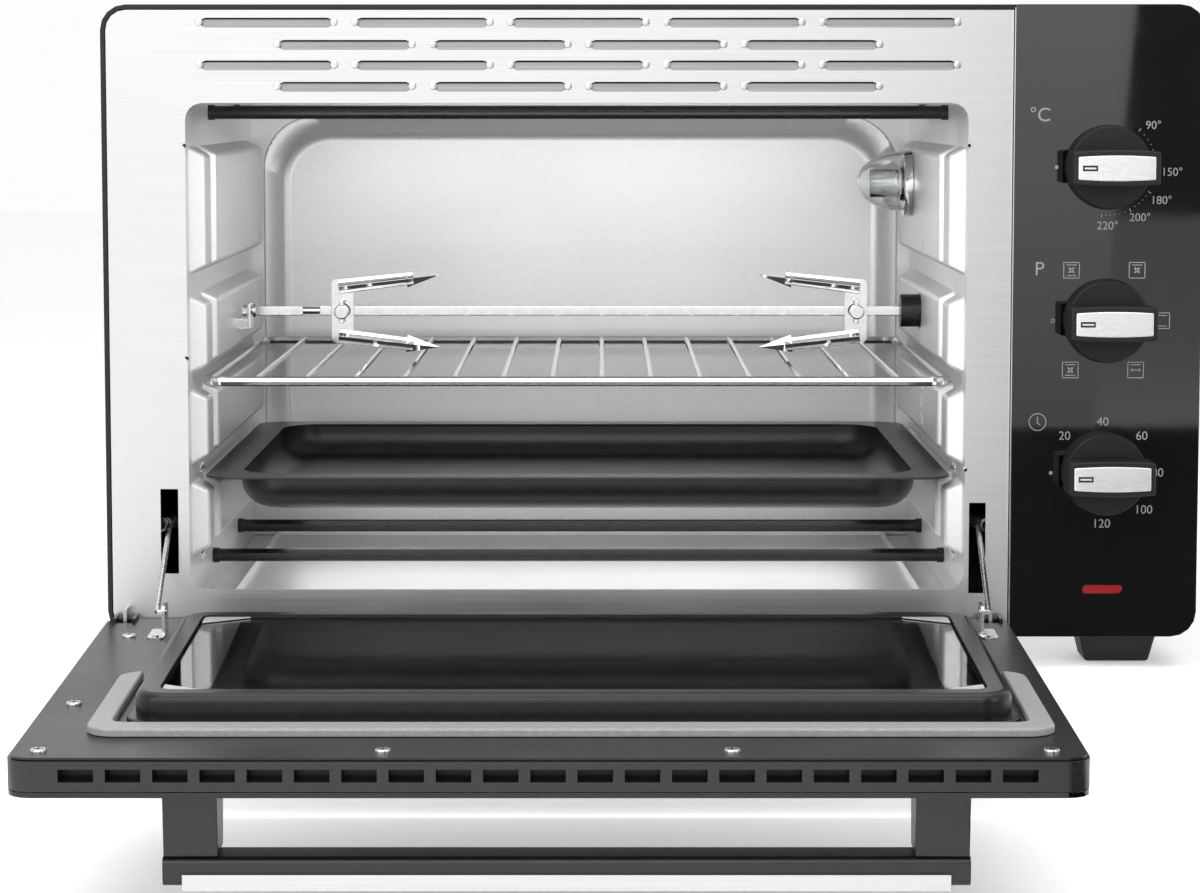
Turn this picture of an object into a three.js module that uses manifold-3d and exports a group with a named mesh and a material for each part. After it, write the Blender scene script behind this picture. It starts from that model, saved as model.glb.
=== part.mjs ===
// Countertop rotisserie oven, door open. Millimetres, +Z up, the front faces -Y.
// Origin: the middle of the pressed panel under the base plate.
import * as THREE from "three";
import { ConvexGeometry } from "three/addons/geometries/ConvexGeometry.js";
import { mergeVertices } from "three/addons/utils/BufferGeometryUtils.js";
import Module from "manifold-3d";

const wasm = await Module();
wasm.setup();

// ---- driving dimensions ----
const GAP = 0.3; // clearance between pieces that touch
const BODY = { left: -260, right: 260, front: -175, rear: 175, bottom: 1.5, height: 300, corner: 12 };
const SHEET = 1; // pressed steel thickness
const SHELL = { wall: 1.2, hem: 2.3, hemDepth: 7, gapLeft: -238, gapRight: 238 };
const BASE_PRESSING = { halfWidth: 150, halfDepth: 110, draft: 3 };
const CABLE_HOLE = { x: 205, height: 42, radius: 8.3 }; // in the rear cover, for the lead's gland
const INDICATOR = { height: 22.9, halfWidth: 9.3, halfHeight: 1.9 };
const OPENING = { left: -220.4, right: 149.3, bottom: 22.4, top: 253.8, corner: 8 };
const CAVITY = { rear: 134, floor: 10, roof: 260 };
const FACE_RIGHT = 170.2; // where the steel face ends and the control panel begins
const PANEL = { left: 170.8, thickness: 2.7, standOff: 0.3, corner: 12 };
const LINK_SLOTS = [
  { left: -234.2, right: -225.8, bottom: 30, top: 70.6 },
  { left: 151.5, right: 159.4, bottom: 20.5, top: 64 },
];
const LOUVRE = { length: 62, height: 4.6, pitch: 73.4, centre: -34.8, rows: [291.4, 281, 271.4, 261.4] };
const SHELF_PADS = [
  { bottom: 37, top: 72.5 },
  { bottom: 81, top: 116.8 },
  { bottom: 124.8, top: 162 },
  { bottom: 172, top: 233 },
];
const PAD = { rise: 8, slope: 4, frontFrom: 12, frontTo: 40, longFrom: 60, longTo: 290 };
const HEATER = { radius: 3.25, low: 26, high: 249, front: 99, rear: 221, overhang: 6 };
const DISH = { left: -214, right: 143, low: 28, high: 247, corner: 30, slope: 12, deep: 13 };
const SPIT = { depth: 155, height: 146.5, side: 5, left: -215, right: 139 };
const LAMP = { depth: 210, height: 211, radius: 16, reach: 30 };
const FAN = { depth: 222, height: 134, radius: 38, thickness: 11 };
const DUCT = { front: 108, rear: 272, bottom: 76, top: 192, depth: 21 };
const KNOB = { x: 215, heights: [223.7, 151.2, 78.7], disc: 20, discDepth: 9, grip: 20.7, reach: 30 };
const FOOT = { top: 39, bottom: 31, height: 16.8, depth: 30, inset: 33, setBack: 40 };
const FORK = { left: -157.8, right: 107.8, arm: 36, reach: 50.5, root: 14, spread: 18.3 };
const RACK = { left: -216, right: 145, front: 12, rear: 303, height: 121, rim: 2.3, wire: 1.5, bars: 14 };
const TRAY = { left: -215.5, right: 144.5, front: 12, rear: 303, rim: 75, depth: 18, inset: 15, corner: 16 };
const PIVOTS = [-254.4, 157.4]; // where the door's notches round the hinge ears begin
const PIVOT_GAP = 7.6;
const DOOR = {
  left: -260,
  right: 170,
  low: -3.5,
  high: 291.5,
  axisHeight: 8.6,
  standOff: 4.5,
  frame: 13.5,
  glass: 2.2,
  open: 92.3,
  corner: 10,
};
const PLUG = { centre: -35.5, halfWidth: 182, low: 44, high: 229, rise: 12.6, border: 10, corner: 14 };
const SEAL = { left: -235, right: 162, arm: 12.5, from: 137, legLow: 236, legHigh: 255, thickness: 3 };
const VENT = { count: 21, width: 14, height: 5.1, pitch: 18.65, first: -231.6, depth: 12 };
const GRIP = { left: -200.5, right: 124.5, post: 22, drop: 29, thickness: 12, low: 252, high: 272 };
const LINK = { pinRise: 11, pinAlong: 39, length: 60, angle: 35, radius: 1.3 };
const SPRING = { radius: 3.6, length: 100, lead: 6 };

const rad = THREE.MathUtils.degToRad;
const up = (height) => BODY.bottom + height; // height above the body's underside, in the part's frame
const back = (depth) => BODY.front + depth; // depth behind the steel face
const SPIT_Y = back(SPIT.depth);
const SPIT_Z = up(SPIT.height);
const HINGE = { y: BODY.front - DOOR.standOff, z: up(DOOR.axisHeight) };

// ---- solids ----
function solid(geometry) {
  const bare = geometry.clone();
  bare.deleteAttribute("normal");
  bare.deleteAttribute("uv");
  const merged = mergeVertices(bare, 1e-4);
  return new wasm.Manifold(
    new wasm.Mesh({
      numProp: 3,
      vertProperties: new Float32Array(merged.attributes.position.array),
      triVerts: new Uint32Array(merged.index.array),
    }),
  );
}

function geometryOf(body) {
  const mesh = body.getMesh();
  const geometry = new THREE.BufferGeometry();
  geometry.setAttribute("position", new THREE.BufferAttribute(mesh.vertProperties, 3));
  geometry.setIndex(new THREE.BufferAttribute(mesh.triVerts, 1));
  geometry.computeVertexNormals();
  return geometry;
}

const join = (...bodies) => bodies.reduce((whole, body) => whole.add(body));
const cut = (body, ...tools) => tools.reduce((left, tool) => left.subtract(tool), body);

function block([x0, x1], [y0, y1], [z0, z1]) {
  const box = new THREE.BoxGeometry(x1 - x0, y1 - y0, z1 - z0);
  return solid(box.translate((x0 + x1) / 2, (y0 + y1) / 2, (z0 + z1) / 2));
}

function hull(points) {
  return solid(new ConvexGeometry(points.map((point) => new THREE.Vector3(...point))));
}

// Points of an arc about (u, v), both ends included.
function arcPoints(u, v, radius, from, steps) {
  if (!radius) return [new THREE.Vector2(u, v)];
  return Array.from({ length: steps + 1 }, (_, k) => {
    const angle = from + ((k / steps) * Math.PI) / 2;
    return new THREE.Vector2(u + radius * Math.cos(angle), v + radius * Math.sin(angle));
  });
}

// A closed outline with rounded corners; radii start at the low-left corner and go round anticlockwise.
function outline(u0, u1, v0, v1, radii, steps = 4) {
  const [a, b, c, d] = Array.isArray(radii) ? radii : [radii, radii, radii, radii];
  return new THREE.Shape([
    ...arcPoints(u0 + a, v0 + a, a, Math.PI, steps),
    ...arcPoints(u1 - b, v0 + b, b, 1.5 * Math.PI, steps),
    ...arcPoints(u1 - c, v1 - c, c, 0, steps),
    ...arcPoints(u0 + d, v1 - d, d, 0.5 * Math.PI, steps),
  ]);
}

// An outline swept along one axis. An outline's own (u, v) are (y, z), (x, z) or (x, y) for X, Y and Z.
const SWEEP = {
  X: new THREE.Matrix4().set(0, 0, 1, 0, 1, 0, 0, 0, 0, 1, 0, 0, 0, 0, 0, 1),
  Y: new THREE.Matrix4().set(1, 0, 0, 0, 0, 0, -1, 0, 0, 1, 0, 0, 0, 0, 0, 1),
  Z: new THREE.Matrix4(),
};

function sweep(shape, axis, from, to) {
  const outer = new THREE.Shape(shape.getPoints());
  const geometry = new THREE.ExtrudeGeometry(outer, { depth: to - from, bevelEnabled: false });
  geometry.applyMatrix4(SWEEP[axis]);
  const shift = new THREE.Vector3();
  shift[axis.toLowerCase()] = axis === "Y" ? to : from;
  const body = solid(geometry.translate(...shift.toArray()));
  const punch = (hole) => sweep(new THREE.Shape(hole.getPoints()), axis, from - 1, to + 1);
  return cut(body, ...shape.holes.map(punch));
}

function disc(radius, u = 0, v = 0, sides = 10) {
  const points = Array.from({ length: sides }, (_, k) => {
    const angle = (k / sides) * 2 * Math.PI;
    return new THREE.Vector2(u + radius * Math.cos(angle), v + radius * Math.sin(angle));
  });
  return new THREE.Shape(points);
}

// A round bar along an axis, with its middle line at (u, v) of the two other axes.
const bar = (axis, radius, u, v, from, to, sides = 12) => sweep(disc(radius, u, v, sides), axis, from, to);

// A round wire that follows straight runs joined by bends.
function wire(points, radius, bend, sides = 8, steps = 4) {
  const corners = points.map((point) => new THREE.Vector3(...point));
  const path = new THREE.CurvePath();
  let start = corners[0];
  for (let i = 1; i < corners.length - 1; i += 1) {
    const before = corners[i].clone().sub(start).setLength(bend);
    const entry = corners[i].clone().sub(before);
    const exit = corners[i].clone().add(corners[i + 1].clone().sub(corners[i]).setLength(bend));
    path.add(new THREE.LineCurve3(start, entry));
    path.add(new THREE.QuadraticBezierCurve3(entry, corners[i], exit));
    start = exit;
  }
  path.add(new THREE.LineCurve3(start, corners[corners.length - 1]));
  const pieces = path.curves.map((curve) => (curve.isLineCurve3 ? 1 : steps));
  const stops = path.curves.flatMap((curve, k) => curve.getPoints(pieces[k]).slice(k ? 1 : 0));
  const route = new THREE.CatmullRomCurve3(stops, false, "catmullrom", 0.001);
  const options = { steps: stops.length - 1, extrudePath: polyline(stops, route) };
  return solid(new THREE.ExtrudeGeometry(disc(radius, 0, 0, sides), options));
}

// A path through fixed stops, sampled exactly at them.
function polyline(stops, route) {
  const last = stops.length - 1;
  route.getPointAt = (t, target) => (target || new THREE.Vector3()).copy(stops[Math.round(t * last)]);
  route.getTangentAt = (t, target) => {
    const k = Math.round(t * last);
    const ahead = stops[Math.min(k + 1, last)];
    return (target || new THREE.Vector3()).copy(ahead).sub(stops[Math.max(k - 1, 0)]).normalize();
  };
  route.getSpacedPoints = (count) => stops.slice(0, count + 1);
  return route;
}

// ---- materials ----
const finish = (color, roughness, metalness) => () =>
  new THREE.MeshStandardMaterial({ color, roughness, metalness, flatShading: true });
const blackPaint = finish(0x111112, 0.45, 0.3);
const brushedSteel = finish(0xb9bbbd, 0.35, 1);
const aluminised = finish(0xd2d4d5, 0.4, 0.9);
const chrome = finish(0xe6e7e8, 0.12, 1);
const blackPlastic = finish(0x0b0b0c, 0.5, 0);
const glossPlastic = finish(0x0a0a0b, 0.12, 0);
const silverPlastic = finish(0xd8d9da, 0.3, 0.6);
const clearGlass = finish(0xaab0b2, 0.05, 0);
const darkGlass = finish(0x1d1f20, 0.05, 0);
const enamel = finish(0x161617, 0.4, 0.1);
const silicone = finish(0xa9abaa, 0.7, 0);
const rubber = finish(0x141414, 0.8, 0);
const heaterMetal = finish(0x2b2b2c, 0.5, 0.6);
const redLens = finish(0xb01018, 0.25, 0);
const springSteel = finish(0x8d8f91, 0.35, 1);

const oven = new THREE.Group();

function addPart(name, body, material, parent = oven) {
  const mesh = new THREE.Mesh(geometryOf(body), material());
  mesh.name = name;
  parent.add(mesh);
}

// ---- casing ----
function outerShell() {
  const { left, right, bottom, height, corner, front, rear } = BODY;
  const ring = (wall, from, to) => {
    const whole = outline(left, right, bottom, bottom + height, corner);
    const inside = [left + wall, right - wall, bottom + wall, bottom + height - wall];
    whole.holes.push(outline(...inside, corner - wall));
    return sweep(whole, "Y", from, to);
  };
  const skin = ring(SHELL.wall, front + 1, rear - 3);
  const hem = ring(SHELL.hem, front, front + SHELL.hemDepth);
  const under = block([SHELL.gapLeft, SHELL.gapRight], [front - 1, rear], [bottom - 1, bottom + 4]);
  return cut(join(skin, hem), under);
}

function rearCover() {
  const { left, right, bottom, height, corner, rear } = BODY;
  const shape = outline(left, right, bottom, bottom + height, corner);
  for (const column of [-1, 0, 1, 2]) {
    for (const row of [0, 1, 2, 3, 4, 5]) {
      const x = 60 * column - 30;
      const z = up(190 + 14 * row);
      shape.holes.push(outline(x - 22, x + 22, z - 2.5, z + 2.5, 0));
    }
  }
  shape.holes.push(disc(CABLE_HOLE.radius, CABLE_HOLE.x, up(CABLE_HOLE.height)));
  return sweep(shape, "Y", rear - 2.7, rear - 1.5);
}

function basePlate() {
  const reach = SHELL.gapRight - 1.5;
  const { halfWidth, halfDepth, draft } = BASE_PRESSING;
  const sheet = block([-reach, reach], [-172, 172], [BODY.bottom, BODY.bottom + SHELL.wall]);
  const corners = (w, d, z) => [[-w, -d, z], [w, -d, z], [w, d, z], [-w, d, z]];
  const low = corners(halfWidth, halfDepth, 0);
  const high = corners(halfWidth + draft, halfDepth + draft, BODY.bottom + 0.5);
  return join(sheet, hull([...low, ...high]));
}

function frontFrame() {
  const edge = SHELL.hem + GAP;
  const inner = BODY.corner - edge;
  const bottom = BODY.bottom + edge;
  const top = BODY.bottom + BODY.height - edge;
  const shape = outline(BODY.left + edge, FACE_RIGHT, bottom, top, [inner, 0, 0, inner]);
  const { left, right, corner } = OPENING;
  shape.holes.push(outline(left, right, up(OPENING.bottom), up(OPENING.top), corner));
  for (const slot of LINK_SLOTS) {
    shape.holes.push(outline(slot.left, slot.right, up(slot.bottom), up(slot.top), 0));
  }
  LOUVRE.rows.forEach((height, row) => {
    const count = row % 2 ? 4 : 5;
    for (let k = 0; k < count; k += 1) {
      const x = LOUVRE.centre + (k - (count - 1) / 2) * LOUVRE.pitch;
      const half = LOUVRE.length / 2;
      const z = up(height);
      shape.holes.push(outline(x - half, x + half, z - LOUVRE.height / 2, z + LOUVRE.height / 2, 2.2, 2));
    }
  });
  const plate = sweep(shape, "Y", BODY.front, BODY.front + SHEET);
  return join(plate, hingeEar(-251.4), hingeEar(160.4));
}

// The eye that carries one of the door's pivot pins.
function hingeEar(x) {
  const ear = outline(HINGE.y - 5, BODY.front + 0.5, HINGE.z - 5.5, HINGE.z + 5.5, 0);
  ear.holes.push(disc(2.6, HINGE.y, HINGE.z));
  return sweep(ear, "X", x, x + 1.6);
}

function foot(x, y) {
  const half = (size, z, y0, y1) => [
    [x - size / 2, y0, z],
    [x + size / 2, y0, z],
    [x - size / 2, y1, z],
    [x + size / 2, y1, z],
  ];
  const top = BODY.bottom - GAP;
  const d = FOOT.depth / 2;
  return hull([
    ...half(FOOT.top, top, y - d, y + d),
    ...half(FOOT.bottom, up(-FOOT.height), y - d + 3, y + d - 3),
  ]);
}

function cableGland() {
  const y = BODY.rear;
  const at = (radius, from, to) => bar("Y", radius, CABLE_HOLE.x, up(CABLE_HOLE.height), from, to, 16);
  const collar = at(CABLE_HOLE.radius + 2.7, y - 1.2, y + 6);
  const neck = at(CABLE_HOLE.radius - 0.5, y - 8, y - 1);
  return cut(join(collar, neck), at(3.8, y - 9, y + 7));
}

// ---- cavity ----
// A pressed shelf pad: a block with sloping sides that stands off a side wall.
function shelfPad(wallX, inward, from, to, pad) {
  const rim = (x, inset) => [
    [x, back(from) + inset, up(pad.bottom) + inset],
    [x, back(to) - inset, up(pad.bottom) + inset],
    [x, back(to) - inset, up(pad.top) - inset],
    [x, back(from) + inset, up(pad.top) - inset],
  ];
  return hull([...rim(wallX - 0.5 * inward, 0), ...rim(wallX + PAD.rise * inward, PAD.slope)]);
}

function sideWall(side) {
  const isLeft = side === "left";
  const face = isLeft ? OPENING.left : OPENING.right;
  const inward = isLeft ? 1 : -1;
  const span = isLeft ? [face - SHEET, face] : [face, face + SHEET];
  const sheet = block(span, [back(1.3), back(308.7)], [up(CAVITY.floor), up(CAVITY.roof)]);
  const pads = SHELF_PADS.flatMap((pad) => [
    shelfPad(face, inward, PAD.frontFrom, PAD.frontTo, pad),
    shelfPad(face, inward, PAD.longFrom, PAD.longTo, pad),
  ]);
  const reach = [face - 12, face + 12];
  const heaterHoles = [HEATER.low, HEATER.high].flatMap((height) =>
    [HEATER.front, HEATER.rear].map((depth) => bar("X", 4, back(depth), up(height), ...reach, 8)),
  );
  const wall = cut(join(sheet, ...pads), ...heaterHoles);
  return isLeft ? wall : cut(wall, ...rightWallOpenings(reach));
}

function rightWallOpenings(reach) {
  const square = (depth, height) =>
    block(reach, [back(depth - 3), back(depth + 3)], [up(height - 3), up(height + 3)]);
  const low = [92, 101, 110].flatMap((height) => [square(134, height), square(144, height)]);
  const high = [square(137, 180), square(147, 180), square(150, 126.5)];
  const socket = bar("X", 9.5, SPIT_Y, SPIT_Z, ...reach, 16);
  const lamp = bar("X", 13, back(LAMP.depth), up(LAMP.height), ...reach, 16);
  return [...low, ...high, socket, lamp];
}

// The rear wall: a sheet with one large dished panel whose sides slope in.
function cavityRearWall() {
  const { rear, floor, roof } = CAVITY;
  const { left, right, low, high, corner, slope, deep } = DISH;
  const sheet = block([OPENING.left, OPENING.right], [rear, rear + SHEET], [up(floor), up(roof)]);
  const ring = (y, inset, r) =>
    outline(left + inset, right - inset, up(low) + inset, up(high) - inset, r)
      .getPoints()
      .map((point) => [point.x, y, point.y]);
  const dish = (wall) =>
    hull([
      ...ring(rear + wall - 0.5, -wall, corner),
      ...ring(rear + deep + wall, slope - wall, corner - slope + 6),
    ]);
  const mouth = (wall) => hull([...ring(rear - 2, -wall, corner), ...ring(rear + wall, -wall, corner)]);
  return cut(join(sheet, dish(SHEET)), mouth(0), dish(0));
}

function cavityRoof() {
  const depth = [back(1.3), back(308.7)];
  const edge = 1.6;
  const roof = up(CAVITY.roof) + GAP;
  return block([OPENING.left - edge, OPENING.right + edge], depth, [roof, roof + SHEET]);
}

function cavityFloor() {
  const depth = [back(1.3), back(308.7)];
  const edge = 1.6;
  const floor = up(CAVITY.floor) - GAP;
  return block([OPENING.left - edge, OPENING.right + edge], depth, [floor - SHEET, floor]);
}

function heater(depth, height) {
  const ends = [OPENING.left - HEATER.overhang, OPENING.right + 4.6];
  return bar("X", HEATER.radius, back(depth), up(height), ...ends, 10);
}

function lampRing() {
  const { depth, height, radius } = LAMP;
  const at = (r, from, to) => bar("X", r, back(depth), up(height), from, to, 20);
  const face = OPENING.right - PAD.rise;
  const flange = at(radius + 1.5, face - 4.5, face - GAP);
  const neck = at(12, face - 2, OPENING.right + 16);
  return cut(join(flange, neck), at(10, face - 6, OPENING.right + 10));
}

// The glass cover: a thin dome, open towards the wall.
function lampGlass() {
  const { radius, reach, depth, height } = LAMP;
  const face = OPENING.right - PAD.rise - 4.5 - GAP;
  const wall = 1.6;
  const long = reach - 5;
  const arc = (r, length, t) => new THREE.Vector2(r * Math.cos(t), length * Math.sin(t));
  const steps = [0, 1, 2, 3, 4, 5];
  const outer = steps.map((k) => arc(radius, long, (k / 5) * (Math.PI / 2)));
  const inner = steps.map((k) => arc(radius - wall, long - wall, (1 - k / 5) * (Math.PI / 2)));
  outer[5].x = 0;
  inner[0].x = 0;
  const dome = new THREE.LatheGeometry([...outer, ...inner, outer[0].clone()], 20);
  dome.rotateZ(Math.PI / 2);
  return solid(dome.translate(face, back(depth), up(height)));
}

function lampBulb() {
  const face = OPENING.right - PAD.rise;
  const at = (r, from, to) => bar("X", r, back(LAMP.depth), up(LAMP.height), from, to, 12);
  return join(at(7.5, face - 22, face - 4), at(9.3, face - 6, OPENING.right + 9));
}

function spitRestBracket() {
  const x = OPENING.left + PAD.rise + GAP;
  const end = [x + 13.8, x + 15];
  const plate = block([x, x + 1.2], [SPIT_Y - 11, SPIT_Y + 11], [SPIT_Z - 13, SPIT_Z + 9]);
  const shelf = block([x, x + 15], [SPIT_Y - 6, SPIT_Y + 6], [SPIT_Z - 9, SPIT_Z - 7.8]);
  const rest = block(end, [SPIT_Y - 6, SPIT_Y + 6], [SPIT_Z - 9, SPIT_Z + 5]);
  const notch = block([x + 13, x + 16], [SPIT_Y - 2.6, SPIT_Y + 2.6], [SPIT_Z - 2.3, SPIT_Z + 6]);
  return join(plate, shelf, cut(rest, notch));
}

// ---- works in the bay beside the cavity ----
function controlBracket() {
  const shape = outline(PANEL.left + 1, 257, up(4), up(296), [0, 10, 10, 0]);
  for (const height of KNOB.heights) shape.holes.push(disc(5, KNOB.x, up(height)));
  return sweep(shape, "Y", back(1), back(2.2));
}

function switchBody(height, halfWidth, halfHeight, length, boss) {
  const z = up(height);
  const y = back(2.2) + GAP;
  const across = [KNOB.x - halfWidth, KNOB.x + halfWidth];
  const can = block(across, [y, y + length], [z - halfHeight, z + halfHeight]);
  const rear = bar("Y", boss, KNOB.x, z, y + length - 1, y + length + 5, 12);
  return join(can, rear);
}

function spitMotor() {
  const face = OPENING.right + SHEET + DUCT.depth + 2.2;
  const can = bar("X", 25, SPIT_Y, SPIT_Z, face, face + 20, 20);
  const shaft = bar("X", 3, SPIT_Y, SPIT_Z, OPENING.right + 6, face + 1, 8);
  return join(can, shaft);
}

function fanMotor() {
  const face = OPENING.right + SHEET + DUCT.depth + 2.2;
  const y = back(FAN.depth);
  const z = up(FAN.height);
  const core = block([face, face + 32], [y - 19, y + 30], [z - 26, z + 26]);
  const shaft = bar("X", 2.2, y, z, face - 12, face + 1, 8);
  return join(core, shaft);
}

function fanDuct() {
  const x = OPENING.right + SHEET + GAP;
  const y = [back(DUCT.front), back(DUCT.rear)];
  const z = [up(DUCT.bottom), up(DUCT.top)];
  const grow = (range, by) => [range[0] - by, range[1] + by];
  const box = block([x, x + DUCT.depth], y, z);
  const inside = block([x - 1, x + DUCT.depth - SHEET], grow(y, -SHEET), grow(z, -SHEET));
  const reach = [x, x + DUCT.depth + 2];
  const spitHole = bar("X", 5, SPIT_Y, SPIT_Z, ...reach, 10);
  const fanHole = bar("X", 4, back(FAN.depth), up(FAN.height), ...reach, 10);
  return cut(box, inside, spitHole, fanHole);
}

function fanImpeller() {
  const x = OPENING.right + SHEET + 4;
  const y = back(FAN.depth);
  const z = up(FAN.height);
  const plate = bar("X", FAN.radius - 4, y, z, x + FAN.thickness - 1.4, x + FAN.thickness, 20);
  const hub = bar("X", 6, y, z, x + 3, x + FAN.thickness + 1, 12);
  const blades = [0, 1, 2, 3, 4, 5, 6, 7].map((k) => {
    const blade = new THREE.BoxGeometry(FAN.thickness, FAN.radius - 9, 1.2);
    blade.translate(x + FAN.thickness / 2, 4.5 + FAN.radius / 2, 0);
    blade.rotateX((k / 8) * 2 * Math.PI);
    return solid(blade.translate(0, y, z));
  });
  return cut(join(plate, hub, ...blades), bar("X", 2.6, y, z, x - 1, x + 16, 8));
}

// ---- control panel ----
function controlPanel() {
  const { left, thickness, standOff, corner } = PANEL;
  const shape = outline(left, BODY.right, BODY.bottom, BODY.bottom + BODY.height, [1, corner, corner, 1]);
  for (const height of KNOB.heights) shape.holes.push(disc(5, KNOB.x, up(height)));
  shape.holes.push(indicatorShape(GAP));
  const y = BODY.front - standOff;
  return sweep(shape, "Y", y - thickness, y);
}

function indicatorShape(gap) {
  const { height, halfWidth, halfHeight } = INDICATOR;
  const [w, h] = [halfWidth + gap, halfHeight + gap];
  return outline(KNOB.x - w, KNOB.x + w, up(height) - h, up(height) + h, h - 0.05);
}

function indicatorLens() {
  return sweep(indicatorShape(0), "Y", BODY.front - PANEL.standOff - PANEL.thickness - 0.3, BODY.front - 0.4);
}

// One control knob: a skirted disc, a grip bar across it and the spindle it turns.
function knob(z) {
  const face = BODY.front - PANEL.standOff - PANEL.thickness - GAP;
  const front = face - KNOB.discDepth;
  const tip = BODY.front - PANEL.standOff - PANEL.thickness - KNOB.reach;
  const skirt = bar("Y", KNOB.disc, KNOB.x, z, front, face, 32);
  const wide = outline(KNOB.x - KNOB.grip, KNOB.x + KNOB.grip, z - 8.6, z + 8.6, 3);
  const grip = sweep(wide, "Y", tip + 1, front + 1);
  const spindle = bar("Y", 3, KNOB.x, z, face - 1, BODY.front + 2.3, 10);
  const pocket = sweep(outline(KNOB.x - 18.4, KNOB.x + 18.4, z - 6.3, z + 6.3, 3), "Y", tip, tip + 2.4);
  return cut(join(skirt, grip, spindle), pocket);
}

function knobInsert(z) {
  const tip = BODY.front - PANEL.standOff - PANEL.thickness - KNOB.reach;
  return sweep(outline(KNOB.x - 18, KNOB.x + 18, z - 5.9, z + 5.9, 2.8), "Y", tip, tip + 2.1);
}

// ---- spit ----
function spitShaft() {
  const half = SPIT.side / 2;
  const square = outline(SPIT_Y - half, SPIT_Y + half, SPIT_Z - half, SPIT_Z + half, 0);
  const rod = sweep(square, "X", -196, SPIT.right);
  const neck = bar("X", 2, SPIT_Y, SPIT_Z, -203, -195, 10);
  const head = bar("X", 3, SPIT_Y, SPIT_Z, SPIT.left + 5, -200, 10);
  return join(rod, neck, head);
}

// A two-tined meat fork whose clamp slides on the square rod. Its tines point towards +X or -X.
function spitFork(x, towards) {
  const half = SPIT.side / 2 + 0.4;
  const clamp = block([x - 6, x + 6], [SPIT_Y - 5, SPIT_Y + 5], [SPIT_Z - 6, SPIT_Z + 6]);
  const cross = block([x - 1, x + 1], [SPIT_Y - 4, SPIT_Y + 4], [SPIT_Z - FORK.root - 2, SPIT_Z + FORK.root + 2]);
  const tines = [-1, 1].map((side) => {
    const root = [x, SPIT_Z + side * FORK.root];
    const tip = [x + towards * FORK.arm, SPIT_Z + side * (FORK.spread - 1)];
    const point = [x + towards * FORK.reach, SPIT_Z + side * FORK.spread];
    const ring = ([px, pz], w, h) => [
      [px, SPIT_Y - w, pz - h],
      [px, SPIT_Y + w, pz - h],
      [px, SPIT_Y - w, pz + h],
      [px, SPIT_Y + w, pz + h],
    ];
    const shank = hull([...ring(root, 3.4, 2), ...ring(tip, 2.2, 1)]);
    return join(shank, hull([...ring(tip, 3.4, 1.2), ...ring(point, 0.3, 0.3)]));
  });
  const bore = block([x - 8, x + 8], [SPIT_Y - half, SPIT_Y + half], [SPIT_Z - half, SPIT_Z + half]);
  const thread = bar("Y", 2.3, x, SPIT_Z, SPIT_Y - 6, SPIT_Y - 2, 10);
  return cut(join(clamp, cross, ...tines), bore, thread);
}

function forkScrew(x) {
  const stem = bar("Y", 2, x, SPIT_Z, SPIT_Y - 12, SPIT_Y - 3.2, 8);
  const head = bar("Y", 3.8, x, SPIT_Z, SPIT_Y - 15, SPIT_Y - 9, 10);
  return join(stem, head);
}

function spitDriveSocket() {
  const half = SPIT.side / 2 + 0.4;
  const body = bar("X", 8.5, SPIT_Y, SPIT_Z, SPIT.right - 8, OPENING.right + 8, 16);
  const square = outline(SPIT_Y - half, SPIT_Y + half, SPIT_Z - half, SPIT_Z + half, 0);
  const mouth = sweep(square, "X", SPIT.right - 9, SPIT.right + 1);
  return cut(body, mouth, bar("X", 3.4, SPIT_Y, SPIT_Z, OPENING.right + 5, OPENING.right + 9, 8));
}

// ---- shelves ----
function wireRack() {
  const { left, right, front, rear, rim, wire: thin, bars } = RACK;
  const z = up(RACK.height);
  const [x0, x1, y0, y1] = [left + rim, right - rim, back(front) + rim, back(rear) - rim];
  const middle = (x0 + x1) / 2;
  const loop = [[middle, y0, z], [x0, y0, z], [x0, y1, z], [middle + 1, y1, z]];
  const other = [[middle - 1, y0, z], [x1, y0, z], [x1, y1, z], [middle, y1, z]];
  const frame = join(wire(loop, rim, 9), wire(other, rim, 9));
  const second = bar("X", 1.8, y0 + 8, z - 0.6, x0, x1, 6);
  const crossWires = Array.from({ length: bars }, (_, k) => {
    const x = x0 + ((k + 1) * (x1 - x0)) / (bars + 1);
    return bar("Y", thin, x, z + 0.6, y0, y1, 6);
  });
  return join(frame, second, ...crossWires);
}

function bakingTray() {
  const { left, right, front, rear, rim, depth, inset, corner } = TRAY;
  const top = up(rim);
  const flange = sweep(outline(left, right, back(front), back(rear), corner), "Z", top - 1.2, top);
  const well = (shrink, low, high, radius) => {
    const step = inset + shrink;
    const rim = outline(left + step, right - step, back(front) + step, back(rear) - step, radius);
    return sweep(rim, "Z", low, high);
  };
  const body = well(0, top - depth, top - 0.5, 20);
  return cut(join(flange, body), well(1.2, top - depth + 1.2, top + 1, 18.8));
}

function crumbTray() {
  const floor = up(CAVITY.floor) + GAP;
  const x = [-205, 134];
  const y = [back(14), back(296)];
  const within = (range) => [range[0] + SHEET, range[1] - SHEET];
  const pan = cut(block(x, y, [floor, floor + 5]), block(within(x), within(y), [floor + SHEET, floor + 6]));
  const lip = block([-60, -11], [y[0] - 4, y[0] + 0.5], [floor + 3.6, floor + 4.8]);
  return join(pan, lip);
}

// ---- door, drawn closed: y is 0 on its inner face and grows into the oven, z is 0 at the pivot ----
const doorOutline = (inset) =>
  outline(
    DOOR.left + inset,
    DOOR.right - inset,
    DOOR.low + inset,
    DOOR.high - inset,
    [2, 2, DOOR.corner - inset, DOOR.corner - inset],
  );

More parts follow.
